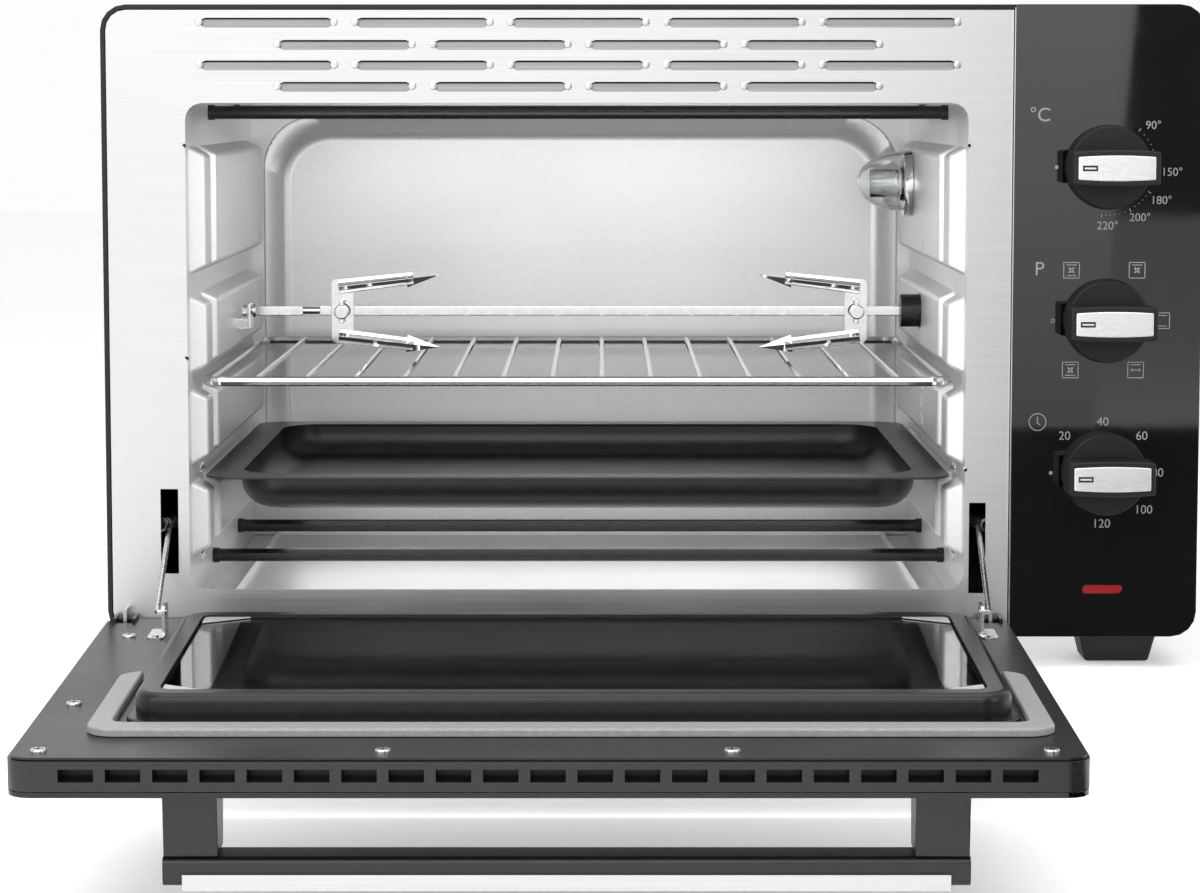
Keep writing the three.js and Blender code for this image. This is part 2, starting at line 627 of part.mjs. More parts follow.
function doorFrame() {
  const ring = doorOutline(0);
  ring.holes.push(outline(PLUG.centre - 184, PLUG.centre + 184, 38, 238, 10));
  const body = sweep(ring, "Y", -DOOR.frame, -SHEET - GAP);
  const top = DOOR.high;
  const vents = Array.from({ length: VENT.count }, (_, k) => {
    const x = VENT.first + k * VENT.pitch;
    const across = [x - VENT.width / 2, x + VENT.width / 2];
    return block(across, [-9.6, -9.6 + VENT.height], [top - VENT.depth, top + 1]);
  });
  const notches = PIVOTS.map((x) => block([x, x + PIVOT_GAP], [-20, 4], [DOOR.low - 1, 9.5]));
  return join(cut(body, ...vents, ...notches), ...PIVOTS.flatMap(pivot));
}

// A pivot pin between the two lugs that hold it.
function pivot(x) {
  const lug = (from) => block([from, from + 1.6], [-6, 2.1], [-2.2, 9]);
  return [bar("X", 2.1, 0, 0, x - 0.5, x + PIVOT_GAP + 0.5, 10), lug(x - 1.6), lug(x + PIVOT_GAP)];
}

function doorInnerPanel() {
  const { centre, halfWidth, low, high, rise, border, corner } = PLUG;
  const rim = (shrink, radius) =>
    outline(centre - halfWidth + shrink, centre + halfWidth - shrink, low + shrink, high - shrink, radius);
  const sheet = sweep(doorOutline(1.5), "Y", -SHEET, 0);
  const plug = sweep(rim(0, corner), "Y", -0.5, rise);
  const hollow = sweep(rim(1.2, corner - 1.2), "Y", -2, rise - 1.2);
  const window = sweep(rim(border, 6), "Y", 0, rise + 1);
  const notches = PIVOTS.map((x) => block([x - 2, x + PIVOT_GAP + 2], [-20, 4], [DOOR.low - 1, 9.5]));
  return join(cut(join(sheet, plug), hollow, window, ...notches), linkTab(-228.2), linkTab(152.4));
}

// The tab that the hinge link hooks into.
function linkTab(x) {
  const tab = outline(-0.5, LINK.pinRise + 3.5, LINK.pinAlong - 6, LINK.pinAlong + 4, 1.5);
  tab.holes.push(disc(1.9, LINK.pinRise, LINK.pinAlong));
  return sweep(tab, "X", x, x + 1.4);
}

function doorInnerGlass() {
  const { centre, halfWidth, low, high, rise } = PLUG;
  const shape = outline(centre - halfWidth + 4, centre + halfWidth - 4, low + 4, high - 4, 8);
  return sweep(shape, "Y", rise - 4.5, rise - 1.2 - GAP);
}

const doorOuterGlass = () => sweep(doorOutline(0), "Y", -DOOR.frame - GAP - DOOR.glass, -DOOR.frame - GAP);

function doorSeal() {
  const { left, right, arm, from, legLow, legHigh, thickness } = SEAL;
  const whole = outline(left, right, from, legHigh, [4, 4, 12, 12]);
  const band = sweep(whole, "Y", GAP, GAP + thickness);
  const inner = outline(left + arm, right - arm, from - 5, legLow, [0, 0, 6, 6]);
  return cut(band, sweep(inner, "Y", -1, thickness + 2));
}

const gripFace = -DOOR.frame - DOOR.glass - 2 * GAP;

function handlePost(x) {
  const [near, far] = [gripFace, gripFace - GRIP.drop + 0.3];
  const corner = (y, w, low, high) => [
    [x - w, y, low],
    [x + w, y, low],
    [x - w, y, high],
    [x + w, y, high],
  ];
  const half = GRIP.post / 2;
  return hull([...corner(near, half, 248, 274), ...corner(far, half, GRIP.low, GRIP.high)]);
}

function handleBar() {
  const near = gripFace - GRIP.drop;
  return sweep(outline(near - GRIP.thickness, near, GRIP.low, GRIP.high, 3), "X", GRIP.left, GRIP.right);
}

function handleStrip() {
  const skin = gripFace - GRIP.drop - GRIP.thickness - GAP;
  const x = [GRIP.left + 8, GRIP.right - 8];
  const face = block(x, [skin - 1.2, skin], [GRIP.low + 1, GRIP.high + 1.5]);
  const lip = block(x, [skin - 1.2, skin + 5.6], [GRIP.high + GAP, GRIP.high + 1.5]);
  return join(face, lip);
}

// ---- hinge links and their springs, placed as they lie with the door open ----
const openTurn = new THREE.Matrix4().makeRotationX(rad(DOOR.open));
const pinOpen = new THREE.Vector3(0, LINK.pinRise, LINK.pinAlong).applyMatrix4(openTurn);
const LINK_PIN = { y: HINGE.y + pinOpen.y, z: HINGE.z + pinOpen.z };
const pinTravel = { y: LINK.pinRise - pinOpen.y, z: LINK.pinAlong - pinOpen.z };
const LINK_END = {
  y: LINK_PIN.y + LINK.length * Math.cos(rad(LINK.angle)),
  z: LINK_PIN.z + LINK.length * Math.sin(rad(LINK.angle)),
};
// With the door closed the link lies level, so its far end has moved by this much.
const endTravel = new THREE.Vector3(
  0,
  pinTravel.y + LINK.length * (1 - Math.cos(rad(LINK.angle))),
  pinTravel.z - LINK.length * Math.sin(rad(LINK.angle)),
);

function hingeLink(x, tabSide) {
  const rod = new THREE.CylinderGeometry(LINK.radius, LINK.radius, LINK.length, 8);
  rod.translate(0, LINK.length / 2, 0);
  rod.rotateX(rad(LINK.angle));
  const shank = solid(rod.translate(x, LINK_PIN.y, LINK_PIN.z));
  const pin = [x, x + tabSide * 4.3].sort((a, b) => a - b);
  return join(shank, bar("X", LINK.radius, LINK_PIN.y, LINK_PIN.z, ...pin, 8));
}

function hingeSpring(x) {
  const coil = new THREE.CylinderGeometry(SPRING.radius, SPRING.radius, SPRING.length, 10);
  coil.translate(0, SPRING.length / 2 + SPRING.lead, 0);
  coil.rotateX(Math.atan2(endTravel.z, endTravel.y));
  return solid(coil.translate(x, LINK_END.y, LINK_END.z));
}

// ---- assembly ----
addPart("outer_shell", outerShell(), blackPaint);
addPart("rear_cover", rearCover(), blackPaint);
addPart("base_plate", basePlate(), aluminised);
addPart("front_frame", frontFrame(), brushedSteel);
for (const [name, sideX, sideY] of [
  ["foot_front_left", -1, -1],
  ["foot_front_right", 1, -1],
  ["foot_rear_left", -1, 1],
  ["foot_rear_right", 1, 1],
]) {
  addPart(name, foot(sideX * (BODY.right - FOOT.inset), sideY * (BODY.rear - FOOT.setBack)), rubber);
}
addPart("cable_gland", cableGland(), blackPlastic);

addPart("cavity_left_wall", sideWall("left"), aluminised);
addPart("cavity_right_wall", sideWall("right"), aluminised);
addPart("cavity_rear_wall", cavityRearWall(), aluminised);
addPart("cavity_roof", cavityRoof(), aluminised);
addPart("cavity_floor", cavityFloor(), aluminised);
addPart("heater_top_front", heater(HEATER.front, HEATER.high), heaterMetal);
addPart("heater_top_rear", heater(HEATER.rear, HEATER.high), heaterMetal);
addPart("heater_bottom_front", heater(HEATER.front, HEATER.low), heaterMetal);
addPart("heater_bottom_rear", heater(HEATER.rear, HEATER.low), heaterMetal);
addPart("lamp_ring", lampRing(), chrome);
addPart("lamp_glass", lampGlass(), clearGlass);
addPart("lamp_bulb", lampBulb(), clearGlass);
addPart("spit_rest_bracket", spitRestBracket(), chrome);

addPart("control_bracket", controlBracket(), aluminised);
addPart("thermostat_body", switchBody(KNOB.heights[0], 19, 15, 30, 11), aluminised);
addPart("selector_switch_body", switchBody(KNOB.heights[1], 19, 19, 32, 9), blackPlastic);
addPart("timer_body", switchBody(KNOB.heights[2], 26, 26, 38, 20), aluminised);
addPart("spit_motor", spitMotor(), aluminised);
addPart("fan_motor", fanMotor(), heaterMetal);
addPart("fan_duct", fanDuct(), aluminised);
addPart("fan_impeller", fanImpeller(), aluminised);

addPart("control_panel", controlPanel(), glossPlastic);
addPart("indicator_lens", indicatorLens(), redLens);
["thermostat", "function", "timer"].forEach((name, k) => {
  addPart(name + "_knob", knob(up(KNOB.heights[k])), blackPlastic);
  addPart(name + "_knob_insert", knobInsert(up(KNOB.heights[k])), silverPlastic);
});

addPart("spit_shaft", spitShaft(), chrome);
addPart("spit_fork_left", spitFork(FORK.left, 1), chrome);
addPart("spit_fork_right", spitFork(FORK.right, -1), chrome);
addPart("fork_screw_left", forkScrew(FORK.left), chrome);
addPart("fork_screw_right", forkScrew(FORK.right), chrome);
addPart("spit_drive_socket", spitDriveSocket(), heaterMetal);
addPart("wire_rack", wireRack(), chrome);
addPart("baking_tray", bakingTray(), enamel);
addPart("crumb_tray", crumbTray(), aluminised);

const door = new THREE.Group();
door.position.set(0, HINGE.y, HINGE.z);
door.rotation.x = rad(DOOR.open);
oven.add(door);
addPart("door_frame", doorFrame(), blackPaint, door);
addPart("door_inner_panel", doorInnerPanel(), blackPaint, door);
addPart("door_outer_glass", doorOuterGlass(), darkGlass, door);
addPart("door_inner_glass", doorInnerGlass(), darkGlass, door);
addPart("door_seal", doorSeal(), silicone, door);
addPart("handle_post_left", handlePost(GRIP.left + GRIP.post / 2 + 0.5), blackPlastic, door);
addPart("handle_post_right", handlePost(GRIP.right - GRIP.post / 2 - 0.5), blackPlastic, door);
addPart("handle_bar", handleBar(), blackPlastic, door);
addPart("handle_strip", handleStrip(), brushedSteel, door);

addPart("hinge_link_left", hingeLink(-230.8, 1), springSteel);
addPart("hinge_link_right", hingeLink(156.4, -1), springSteel);
addPart("hinge_spring_left", hingeSpring(-236.4), springSteel);
addPart("hinge_spring_right", hingeSpring(161.9), springSteel);

export default oven;
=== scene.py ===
# Countertop rotisserie oven: the looks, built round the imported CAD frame.
# Metres, with Z up and the oven's front facing -Y.
import math

import bmesh
import bpy
from mathutils import Matrix, Vector


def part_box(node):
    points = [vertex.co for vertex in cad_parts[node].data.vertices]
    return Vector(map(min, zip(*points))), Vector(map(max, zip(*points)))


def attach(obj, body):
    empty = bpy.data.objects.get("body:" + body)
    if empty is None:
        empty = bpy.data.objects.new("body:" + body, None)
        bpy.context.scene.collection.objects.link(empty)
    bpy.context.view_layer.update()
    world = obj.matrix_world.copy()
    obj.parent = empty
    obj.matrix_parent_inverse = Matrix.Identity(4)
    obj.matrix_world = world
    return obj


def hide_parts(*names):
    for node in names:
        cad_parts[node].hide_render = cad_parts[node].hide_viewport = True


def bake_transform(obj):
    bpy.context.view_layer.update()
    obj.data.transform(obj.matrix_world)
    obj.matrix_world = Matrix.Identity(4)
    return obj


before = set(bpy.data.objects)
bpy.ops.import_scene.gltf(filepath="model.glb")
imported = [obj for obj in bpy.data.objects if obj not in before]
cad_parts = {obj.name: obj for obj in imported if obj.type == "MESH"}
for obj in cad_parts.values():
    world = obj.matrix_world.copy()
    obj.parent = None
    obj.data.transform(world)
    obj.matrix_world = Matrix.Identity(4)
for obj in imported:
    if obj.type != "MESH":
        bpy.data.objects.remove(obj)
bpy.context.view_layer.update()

# ---- Studio lights and camera ----
# Four soft boxes stand round the oven. Two small ones light the liner from inside the cavity,
# because little of the outer light gets past the open door.
camera = bpy.data.objects.new("camera", bpy.data.cameras.new("camera"))
bpy.context.scene.collection.objects.link(camera)
camera.location = (-0.0246, -1.8208, 0.2570)
camera.rotation_euler = (math.pi / 2 - 0.0996, 0, 0)
camera.data.lens = 104.2
camera.data.sensor_width = 36
bpy.context.scene.camera = camera


def soft_box(name, place, target, width, height, power):
    """A rectangular area light at a place, turned to a target; sizes in metres, power in watts."""
    light = bpy.data.lights.new(name, "AREA")
    light.shape = "RECTANGLE"
    light.size = width
    light.size_y = height
    light.energy = power
    lamp = bpy.data.objects.new(name, light)
    lamp.location = place
    lamp.rotation_euler = (Vector(target) - Vector(place)).to_track_quat("-Z", "Y").to_euler()
    lamp.visible_camera = False
    bpy.context.scene.collection.objects.link(lamp)


CAVITY_MIDDLE = -0.0355
FRONT_OF_OVEN = (0, 0, 0.15)
soft_box("overhead_box", (0, -0.5, 2.0), (0, -0.1, 0.1), 2.4, 1.6, 23)
soft_box("front_left_box", (-1.7, -1.7, 0.9), FRONT_OF_OVEN, 1.0, 1.6, 12)
soft_box("front_right_box", (1.9, -1.6, 0.8), FRONT_OF_OVEN, 0.8, 1.6, 9)
soft_box("front_high_box", (-0.2, -2.0, 1.5), FRONT_OF_OVEN, 2.0, 0.7, 16)
soft_box("cavity_box", (CAVITY_MIDDLE, -0.135, 0.225), (CAVITY_MIDDLE, 0.14, 0.10), 0.30, 0.05, 0.10)
soft_box("floor_box", (CAVITY_MIDDLE, -0.03, 0.046), (CAVITY_MIDDLE, -0.03, 0), 0.30, 0.16, 0.22)

world = bpy.data.worlds.new("studio")
world.use_nodes = True
tree = world.node_tree
aim = tree.nodes.new("ShaderNodeTexCoord")
parts = tree.nodes.new("ShaderNodeSeparateXYZ")
fall = tree.nodes.new("ShaderNodeMapRange")
fall.inputs["From Min"].default_value = -0.95
fall.inputs["From Max"].default_value = 0.4
fall.inputs["To Min"].default_value = 0.14
fall.inputs["To Max"].default_value = 1.0
tree.links.new(aim.outputs["Generated"], parts.inputs["Vector"])
tree.links.new(parts.outputs["Y"], fall.inputs["Value"])
tree.links.new(fall.outputs["Result"], tree.nodes["Background"].inputs["Strength"])
tree.nodes["Background"].inputs["Color"].default_value = (0.97, 0.98, 1.0, 1)
bpy.context.scene.world = world
bpy.context.scene.view_settings.view_transform = "Standard"

# ---- Studio counter and floor ----
# A pale counter block stands under the oven, with a pale floor below it. The counter ends just in
# front of the feet, so that the open door's handle can hang past its edge.


def add_block(bm, low, high, round_by=0.0, steps=2):
    """A block between two corners, with all its edges rounded by round_by."""
    made = bmesh.ops.create_cube(bm, size=1)["verts"]
    size = Vector(high) - Vector(low)
    bmesh.ops.scale(bm, vec=size, verts=made)
    bmesh.ops.translate(bm, vec=Vector(low) + size / 2, verts=made)
    if round_by:
        edges = list({edge for vert in made for edge in vert.link_edges})
        bmesh.ops.bevel(
            bm, geom=edges, offset=round_by, segments=steps, profile=0.5, affect="EDGES", material=-1
        )


def to_object(name, bm, material, crease=38):
    """Turns a bmesh into a finished piece that is smooth up to the crease angle, in degrees."""
    bmesh.ops.recalc_face_normals(bm, faces=bm.faces)
    mesh = bpy.data.meshes.new(name)
    bm.to_mesh(mesh)
    bm.free()
    mesh.shade_smooth()
    mesh.set_sharp_from_angle(angle=math.radians(crease))
    piece = bpy.data.objects.new(name, mesh)
    bpy.context.scene.collection.objects.link(piece)
    mesh.materials.append(material)
    even = piece.modifiers.new("normals", "WEIGHTED_NORMAL")
    even.keep_sharp = True
    return piece


def finish(name, dark, light, metal, rough, grain, swing=0.06, bump=0.1, depth=0.0001, detail=4.0):
    """A finish whose grain, in cycles per metre along X, Y and Z, moves its colour, roughness and bump."""
    material = bpy.data.materials.new(name)
    material.use_nodes = True
    nodes = material.node_tree.nodes
    link = material.node_tree.links.new
    shader = nodes["Principled BSDF"]
    shader.inputs["Metallic"].default_value = metal
    place = nodes.new("ShaderNodeTexCoord")
    stretch = nodes.new("ShaderNodeMapping")
    stretch.inputs["Scale"].default_value = grain
    fine = nodes.new("ShaderNodeTexNoise")
    fine.inputs["Scale"].default_value = 1.0
    fine.inputs["Detail"].default_value = detail
    link(place.outputs["Object"], stretch.inputs["Vector"])
    link(stretch.outputs["Vector"], fine.inputs["Vector"])
    cloud = nodes.new("ShaderNodeTexNoise")
    cloud.inputs["Scale"].default_value = 9.0
    cloud.inputs["Detail"].default_value = 3.0
    link(place.outputs["Object"], cloud.inputs["Vector"])
    tint = nodes.new("ShaderNodeValToRGB")
    tint.color_ramp.elements[0].position = 0.3
    tint.color_ramp.elements[1].position = 0.7
    tint.color_ramp.elements[0].color = (*dark, 1)
    tint.color_ramp.elements[1].color = (*light, 1)
    link(fine.outputs["Fac"], tint.inputs["Fac"])
    link(tint.outputs["Color"], shader.inputs["Base Color"])
    both = nodes.new("ShaderNodeMath")
    both.operation = "MULTIPLY"
    link(fine.outputs["Fac"], both.inputs[0])
    link(cloud.outputs["Fac"], both.inputs[1])
    spread = nodes.new("ShaderNodeMapRange")
    spread.inputs["From Min"].default_value = 0.1
    spread.inputs["From Max"].default_value = 0.4
    spread.inputs["To Min"].default_value = max(rough - swing, 0.02)
    spread.inputs["To Max"].default_value = rough + swing
    link(both.outputs["Value"], spread.inputs["Value"])
    link(spread.outputs["Result"], shader.inputs["Roughness"])
    relief = nodes.new("ShaderNodeBump")
    relief.inputs["Strength"].default_value = bump
    relief.inputs["Distance"].default_value = depth
    link(fine.outputs["Fac"], relief.inputs["Height"])
    link(relief.outputs["Normal"], shader.inputs["Normal"])
    return material


def shader_of(material):
    return material.node_tree.nodes["Principled BSDF"].inputs


FLOOR_LEVEL = -0.0900
COUNTER_TOP = -0.0156
pale = finish("studio_floor", (0.86, 0.86, 0.86), (0.89, 0.89, 0.89), 0, 0.6, (40, 40, 40), 0.05, 0.02)
bm = bmesh.new()
add_block(bm, (-0.40, -0.162, FLOOR_LEVEL), (0.40, 0.34, COUNTER_TOP), 0.006, 4)
shader_of(pale)["Emission Color"].default_value = (1, 1, 1, 1)
shader_of(pale)["Emission Strength"].default_value = 0.29
counter = to_object("counter_block", bm, pale)
bm = bmesh.new()
bmesh.ops.create_grid(bm, x_segments=8, y_segments=8, size=9.0)
bmesh.ops.translate(bm, vec=(0, 0, FLOOR_LEVEL), verts=bm.verts)
to_object("studio_floor", bm, pale)

# ---- Studio cards ----
# A bright card that the steel face and the left part of the control panel mirror, brighter at its
# top, and a dark card on the floor that keeps the foot of the panel black.
card_light = bpy.data.materials.new("card_light")
card_light.use_nodes = True
nodes = card_light.node_tree.nodes
nodes.remove(nodes["Principled BSDF"])
glow = nodes.new("ShaderNodeEmission")
place = nodes.new("ShaderNodeTexCoord")
heights = nodes.new("ShaderNodeSeparateXYZ")
ramp = nodes.new("ShaderNodeMapRange")
ramp.inputs["From Min"].default_value = -0.45
ramp.inputs["From Max"].default_value = 0.55
ramp.inputs["To Min"].default_value = 0.25
ramp.inputs["To Max"].default_value = 2.0
card_light.node_tree.links.new(place.outputs["Object"], heights.inputs["Vector"])
card_light.node_tree.links.new(heights.outputs["Z"], ramp.inputs["Value"])
card_light.node_tree.links.new(ramp.outputs["Result"], glow.inputs["Strength"])
card_light.node_tree.links.new(glow.outputs["Emission"], nodes["Material Output"].inputs["Surface"])


def card_of(name, material, corners):
    """A flat card between four corners, which the camera can't see and which casts no shadow."""
    bm = bmesh.new()
    bm.faces.new([bm.verts.new(at) for at in corners])
    card = to_object(name, bm, material)
    card.visible_camera = False
    card.visible_shadow = False
    return card


CARD_Y = -2.25
upright = ((-1.3, CARD_Y, -0.5), (0.47, CARD_Y, -0.5), (0.62, CARD_Y, 1.2), (-1.3, CARD_Y, 1.2))
card = card_of("light_card", card_light, upright)

CARD_LEVEL = -0.088
dark_card = finish(
    "dark_card", (0.002, 0.002, 0.002), (0.003, 0.003, 0.003), 0, 0.9, (40, 40, 40), 0.02, 0.0
)
level = (
    (0.185, -0.4, CARD_LEVEL),
    (0.389, -2.2, CARD_LEVEL),
    (1.2, -2.2, CARD_LEVEL),
    (1.0, -0.4, CARD_LEVEL),
)
flag = card_of("dark_floor_card", dark_card, level)
flag.visible_diffuse = False

# ---- Casing ----
# A sheet-steel wrapper with a hemmed front edge, powder coated black, over a galvanised base.
# A vented back cover, four moulded feet and the gland where the mains lead comes out.


def dress(node, material, edge=0.0003, angle=32):
    """A CAD piece keeps its shape; its sharp edges are softened and it gets a finish."""
    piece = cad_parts[node]
    piece.data.materials.clear()
    piece.data.materials.append(material)
    piece.data.shade_smooth()
    weld = piece.modifiers.new("weld", "WELD")
    weld.merge_threshold = 0.00001
    if edge:
        bevel = piece.modifiers.new("edge", "BEVEL")
        bevel.width = edge
        bevel.segments = 2
        bevel.limit_method = "ANGLE"
        bevel.angle_limit = math.radians(angle)
    even = piece.modifiers.new("normals", "WEIGHTED_NORMAL")
    even.keep_sharp = True
    return piece


def add_bar(bm, axis, radius, middle, start, stop, sides=32, tip=None):
    """A round bar along X, Y or Z, its middle line at the two other coordinates."""
    turn = {
        "X": Matrix.Rotation(math.pi / 2, 4, "Y"), "Y": Matrix.Rotation(-math.pi / 2, 4, "X"),
        "Z": Matrix()
    }
    centre = {
        "X": ((start + stop) / 2, *middle),
        "Y": (middle[0], (start + stop) / 2, middle[1]),
        "Z": (*middle, (start + stop) / 2),
    }
    return bmesh.ops.create_cone(
        bm,
        cap_ends=True,
        segments=sides,
        radius1=radius,
        radius2=radius if tip is None else tip,
        depth=stop - start,
        matrix=Matrix.Translation(centre[axis]) @ turn[axis],
    )["verts"]


def add_plate(bm, low, high, corner, across="Y", steps=8):
    """A block whose edges along one axis are rounded."""
    index = "XYZ".index(across)
    before = set(bm.verts)
    add_block(bm, low, high)
    made = set(bm.verts) - before
    edges = {
        e for v in made for e in v.link_edges if abs(e.verts[0].co[index] - e.verts[1].co[index]) > 1e-6
    }
    bmesh.ops.bevel(
        bm, geom=list(edges), offset=corner, segments=steps, profile=0.5, affect="EDGES", material=-1
    )


def add_screw(bm, painted_cross_shade, x, y, z, radius=0.0031):
    """A pan-head cross screw that faces -Y. Its cross is drawn in its own darker mesh, a thin black cross
    laid on the uncut head: painted shade for the hollow of the cross.
    """
    head = add_bar(bm, "Y", radius, (x, z), y - 0.0013, y + 0.0004, 24)
    front = [
        edge for vert in head if vert.co.y < y for edge in vert.link_edges
        if edge.other_vert(vert).co.y < y
    ]
    bmesh.ops.bevel(
        bm, geom=list(set(front)), offset=0.0008, segments=3, profile=0.6, affect="EDGES", material=-1
    )
    arm = 0.62 * radius
    add_block(painted_cross_shade, (x - arm, y - 0.00136, z - 0.0004), (x + arm, y - 0.0012, z + 0.0004))
    add_block(painted_cross_shade, (x - 0.0004, y - 0.00136, z - arm), (x + 0.0004, y - 0.0012, z + arm))


black_paint = finish(
    "black_paint", (0.004, 0.004, 0.0045), (0.009, 0.009, 0.0095), 0, 0.36, (900, 900, 900), 0.05, 0.12
)
galvanised = finish(
    "aluminised_steel", (0.87, 0.87, 0.875), (0.91, 0.91, 0.915), 0.5, 0.36, (420, 420, 420), 0.03, 0.02
)
rubber = finish(
    "foot_rubber", (0.008, 0.008, 0.008), (0.014, 0.014, 0.014), 0, 0.6, (1200, 1200, 1200), 0.06, 0.3
)
black_plastic = finish(
    "black_plastic", (0.004, 0.004, 0.0045), (0.008, 0.008, 0.0085), 0, 0.45, (1500, 1500, 1500), 0.06,
    0.3
)
screw_steel = finish(
    "screw_steel", (0.62, 0.62, 0.62), (0.75, 0.75, 0.75), 1, 0.25, (900, 900, 900), 0.08, 0.1
)
for black in (black_paint, rubber, black_plastic):
    shader_of(black)["Specular IOR Level"].default_value = 0.35

dress("outer_shell", black_paint)
dress("rear_cover", black_paint, 0.0002)
dress("base_plate", galvanised)
for foot in ("foot_front_left", "foot_front_right", "foot_rear_left", "foot_rear_right"):
    dress(foot, rubber, 0.0015)
dress("cable_gland", black_plastic)

# ---- Back cover screws ----
# Eight plated cross-head screws hold the back cover to the wrapper, four along the top and four
# along the foot. They are drawn facing forwards and turned about to face the back.
bm = bmesh.new()
painted_cross_shade = bmesh.new()
for x in (-0.238, -0.08, 0.08, 0.238):
    for z in (0.022, 0.282):
        add_screw(bm, painted_cross_shade, x, -0.1735, z)
bmesh.ops.rotate(bm, cent=(0, 0, 0), matrix=Matrix.Rotation(math.pi, 3, "Z"), verts=bm.verts)
bmesh.ops.rotate(painted_cross_shade, cent=(0, 0, 0), matrix=Matrix.Rotation(math.pi, 3, "Z"), verts=painted_cross_shade.verts)
# The crosses are thin black meshes on the plated heads: painted shade for the hollows of the crosses.
for name, mesh, material in (("rear_screws", bm, screw_steel), ("rear_screw_painted_cross_shade", painted_cross_shade, black_paint)):
    piece = to_object(name, mesh, material)
    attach(piece, "chassis")

# ---- Steel face ----
# One brushed stainless sheet with the mouth and the two link slots cut out of it. It carries the
# hinge ears and is fixed to the wrapper's front edge.
brushed = finish(
    "brushed_steel", (0.54, 0.545, 0.55), (0.62, 0.625, 0.63), 1, 0.33, (8, 400, 2200), 0.04, 0.05,
    0.00003
)
dress("front_frame", brushed, 0.0001)

# ---- Louvres ----
# Each louvre above the mouth is lanced along its top and its tongue pressed in. The pressing leaves
# a small bright raised spot at each end.
LOUVRE_ROWS = ((0.2929, 5), (0.2825, 4), (0.2729, 5), (0.2629, 4))
LOUVRE_PITCH = 0.0734
LOUVRE_MIDDLE = -0.0348
LOUVRE_HALF = 0.031
LOUVRE_TILT = math.radians(-13)
FACE_BACK = -0.1744
FACE_FRONT = -0.1750
bm = bmesh.new()
ends = bmesh.new()
for height, count in LOUVRE_ROWS:
    for place in range(count):
        x = LOUVRE_MIDDLE + (place - (count - 1) / 2) * LOUVRE_PITCH
        before = set(bm.verts)
        add_block(
            bm, (-LOUVRE_HALF - 0.0006, 0, -0.0027), (LOUVRE_HALF + 0.0006, 0.0006, 0.0019), 0.0002, 1
        )
        tongue = list(set(bm.verts) - before)
        bmesh.ops.rotate(
            bm, cent=(0, 0, -0.0026), matrix=Matrix.Rotation(LOUVRE_TILT, 3, "X"), verts=tongue
        )
        bmesh.ops.translate(bm, vec=(x, FACE_BACK, height), verts=tongue)
        for side in (-1, 1):
            made = bmesh.ops.create_uvsphere(ends, u_segments=20, v_segments=12, radius=0.001)["verts"]
            bmesh.ops.scale(ends, vec=(1.9, 0.45, 1.9), verts=made)
            bmesh.ops.translate(
                ends, vec=(x + side * (LOUVRE_HALF + 0.0009), FACE_FRONT, height + 0.0004), verts=made
            )
# The tongues get a darker steel tone than the face. This is painted shade for the shade inside the pressed
# slots.
louvre_steel_painted_shade = finish(
    "louvre_steel_painted_shade", (0.20, 0.20, 0.20), (0.30, 0.30, 0.30), 1, 0.46, (8, 900, 1800), 0.06, 0.1, 0.00004
)
louvres = to_object("louvre_tongues", bm, louvre_steel_painted_shade)
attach(louvres, "chassis")
ends = to_object("louvre_ends", ends, brushed)
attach(ends, "chassis")

# ---- Cavity side walls ----
# Aluminised sheet with shelf pads pressed inwards, whose gaps are the shelf ledges. The right wall
# has the fan's square holes and the bore for the spit's drive.
CAVITY_LEFT = -0.2204
CAVITY_RIGHT = 0.1493
CAVITY_FOOT = 0.0115
CAVITY_TOP = 0.2615
WALLS = {"cavity_left_wall": (CAVITY_LEFT, 1), "cavity_right_wall": (CAVITY_RIGHT, -1)}
PADS = ((0.037, 0.0725), (0.081, 0.1168), (0.1248, 0.162), (0.172, 0.233))
PAD_SPANS = ((-0.163, -0.135), (-0.115, 0.115))
PAD_RISE = 0.008
PAD_SLOPE = 0.004
PAD_LIFT = 0.0015
SHEET = 0.001
AXLE = (-0.020, 0.148)


def add_pad(bm, wall, inward, y0, y1, z0, z1):
    """A pressed pad: a low block on the wall whose face is smaller than its foot."""
    top = wall + inward * PAD_RISE
    before = set(bm.verts)
    add_block(bm, (min(wall, top), y0, z0 + PAD_LIFT), (max(wall, top), y1, z1 + PAD_LIFT))
    made = list(set(bm.verts) - before)
    face = [vert for vert in made if abs(vert.co.x - top) < 1e-6]
    middle = Vector((top, (y0 + y1) / 2, (z0 + z1) / 2 + PAD_LIFT))
    shrink = (1, 1 - 2 * PAD_SLOPE / (y1 - y0), 1 - 2 * PAD_SLOPE / (z1 - z0))
    bmesh.ops.scale(bm, vec=shrink, verts=face, space=Matrix.Translation(-middle))
    edges = {edge for vert in face for edge in vert.link_edges}
    bmesh.ops.bevel(
        bm, geom=list(edges), offset=0.0018, segments=4, profile=0.5, affect="EDGES", material=-1
    )


def carved(bm, cutter):
    """The solid of one bmesh with the solid of another cut out of it."""
    body = to_object("body", bm, galvanised)
    tool = to_object("tool", cutter, galvanised)
    cut = body.modifiers.new("cut", "BOOLEAN")
    cut.operation = "DIFFERENCE"
    cut.solver = "EXACT"
    cut.object = tool
    bpy.context.view_layer.update()
    mesh = bpy.data.meshes.new_from_object(body.evaluated_get(bpy.context.evaluated_depsgraph_get()))
    bpy.data.objects.remove(body)
    bpy.data.objects.remove(tool)
    left = bmesh.new()
    left.from_mesh(mesh)
    return left


def join_into(bm, other):
    """Puts the solid of one bmesh beside those that another already holds."""
    mesh = bpy.data.meshes.new("joined")
    other.to_mesh(mesh)
    other.free()
    bm.from_mesh(mesh)
    bpy.data.meshes.remove(mesh)


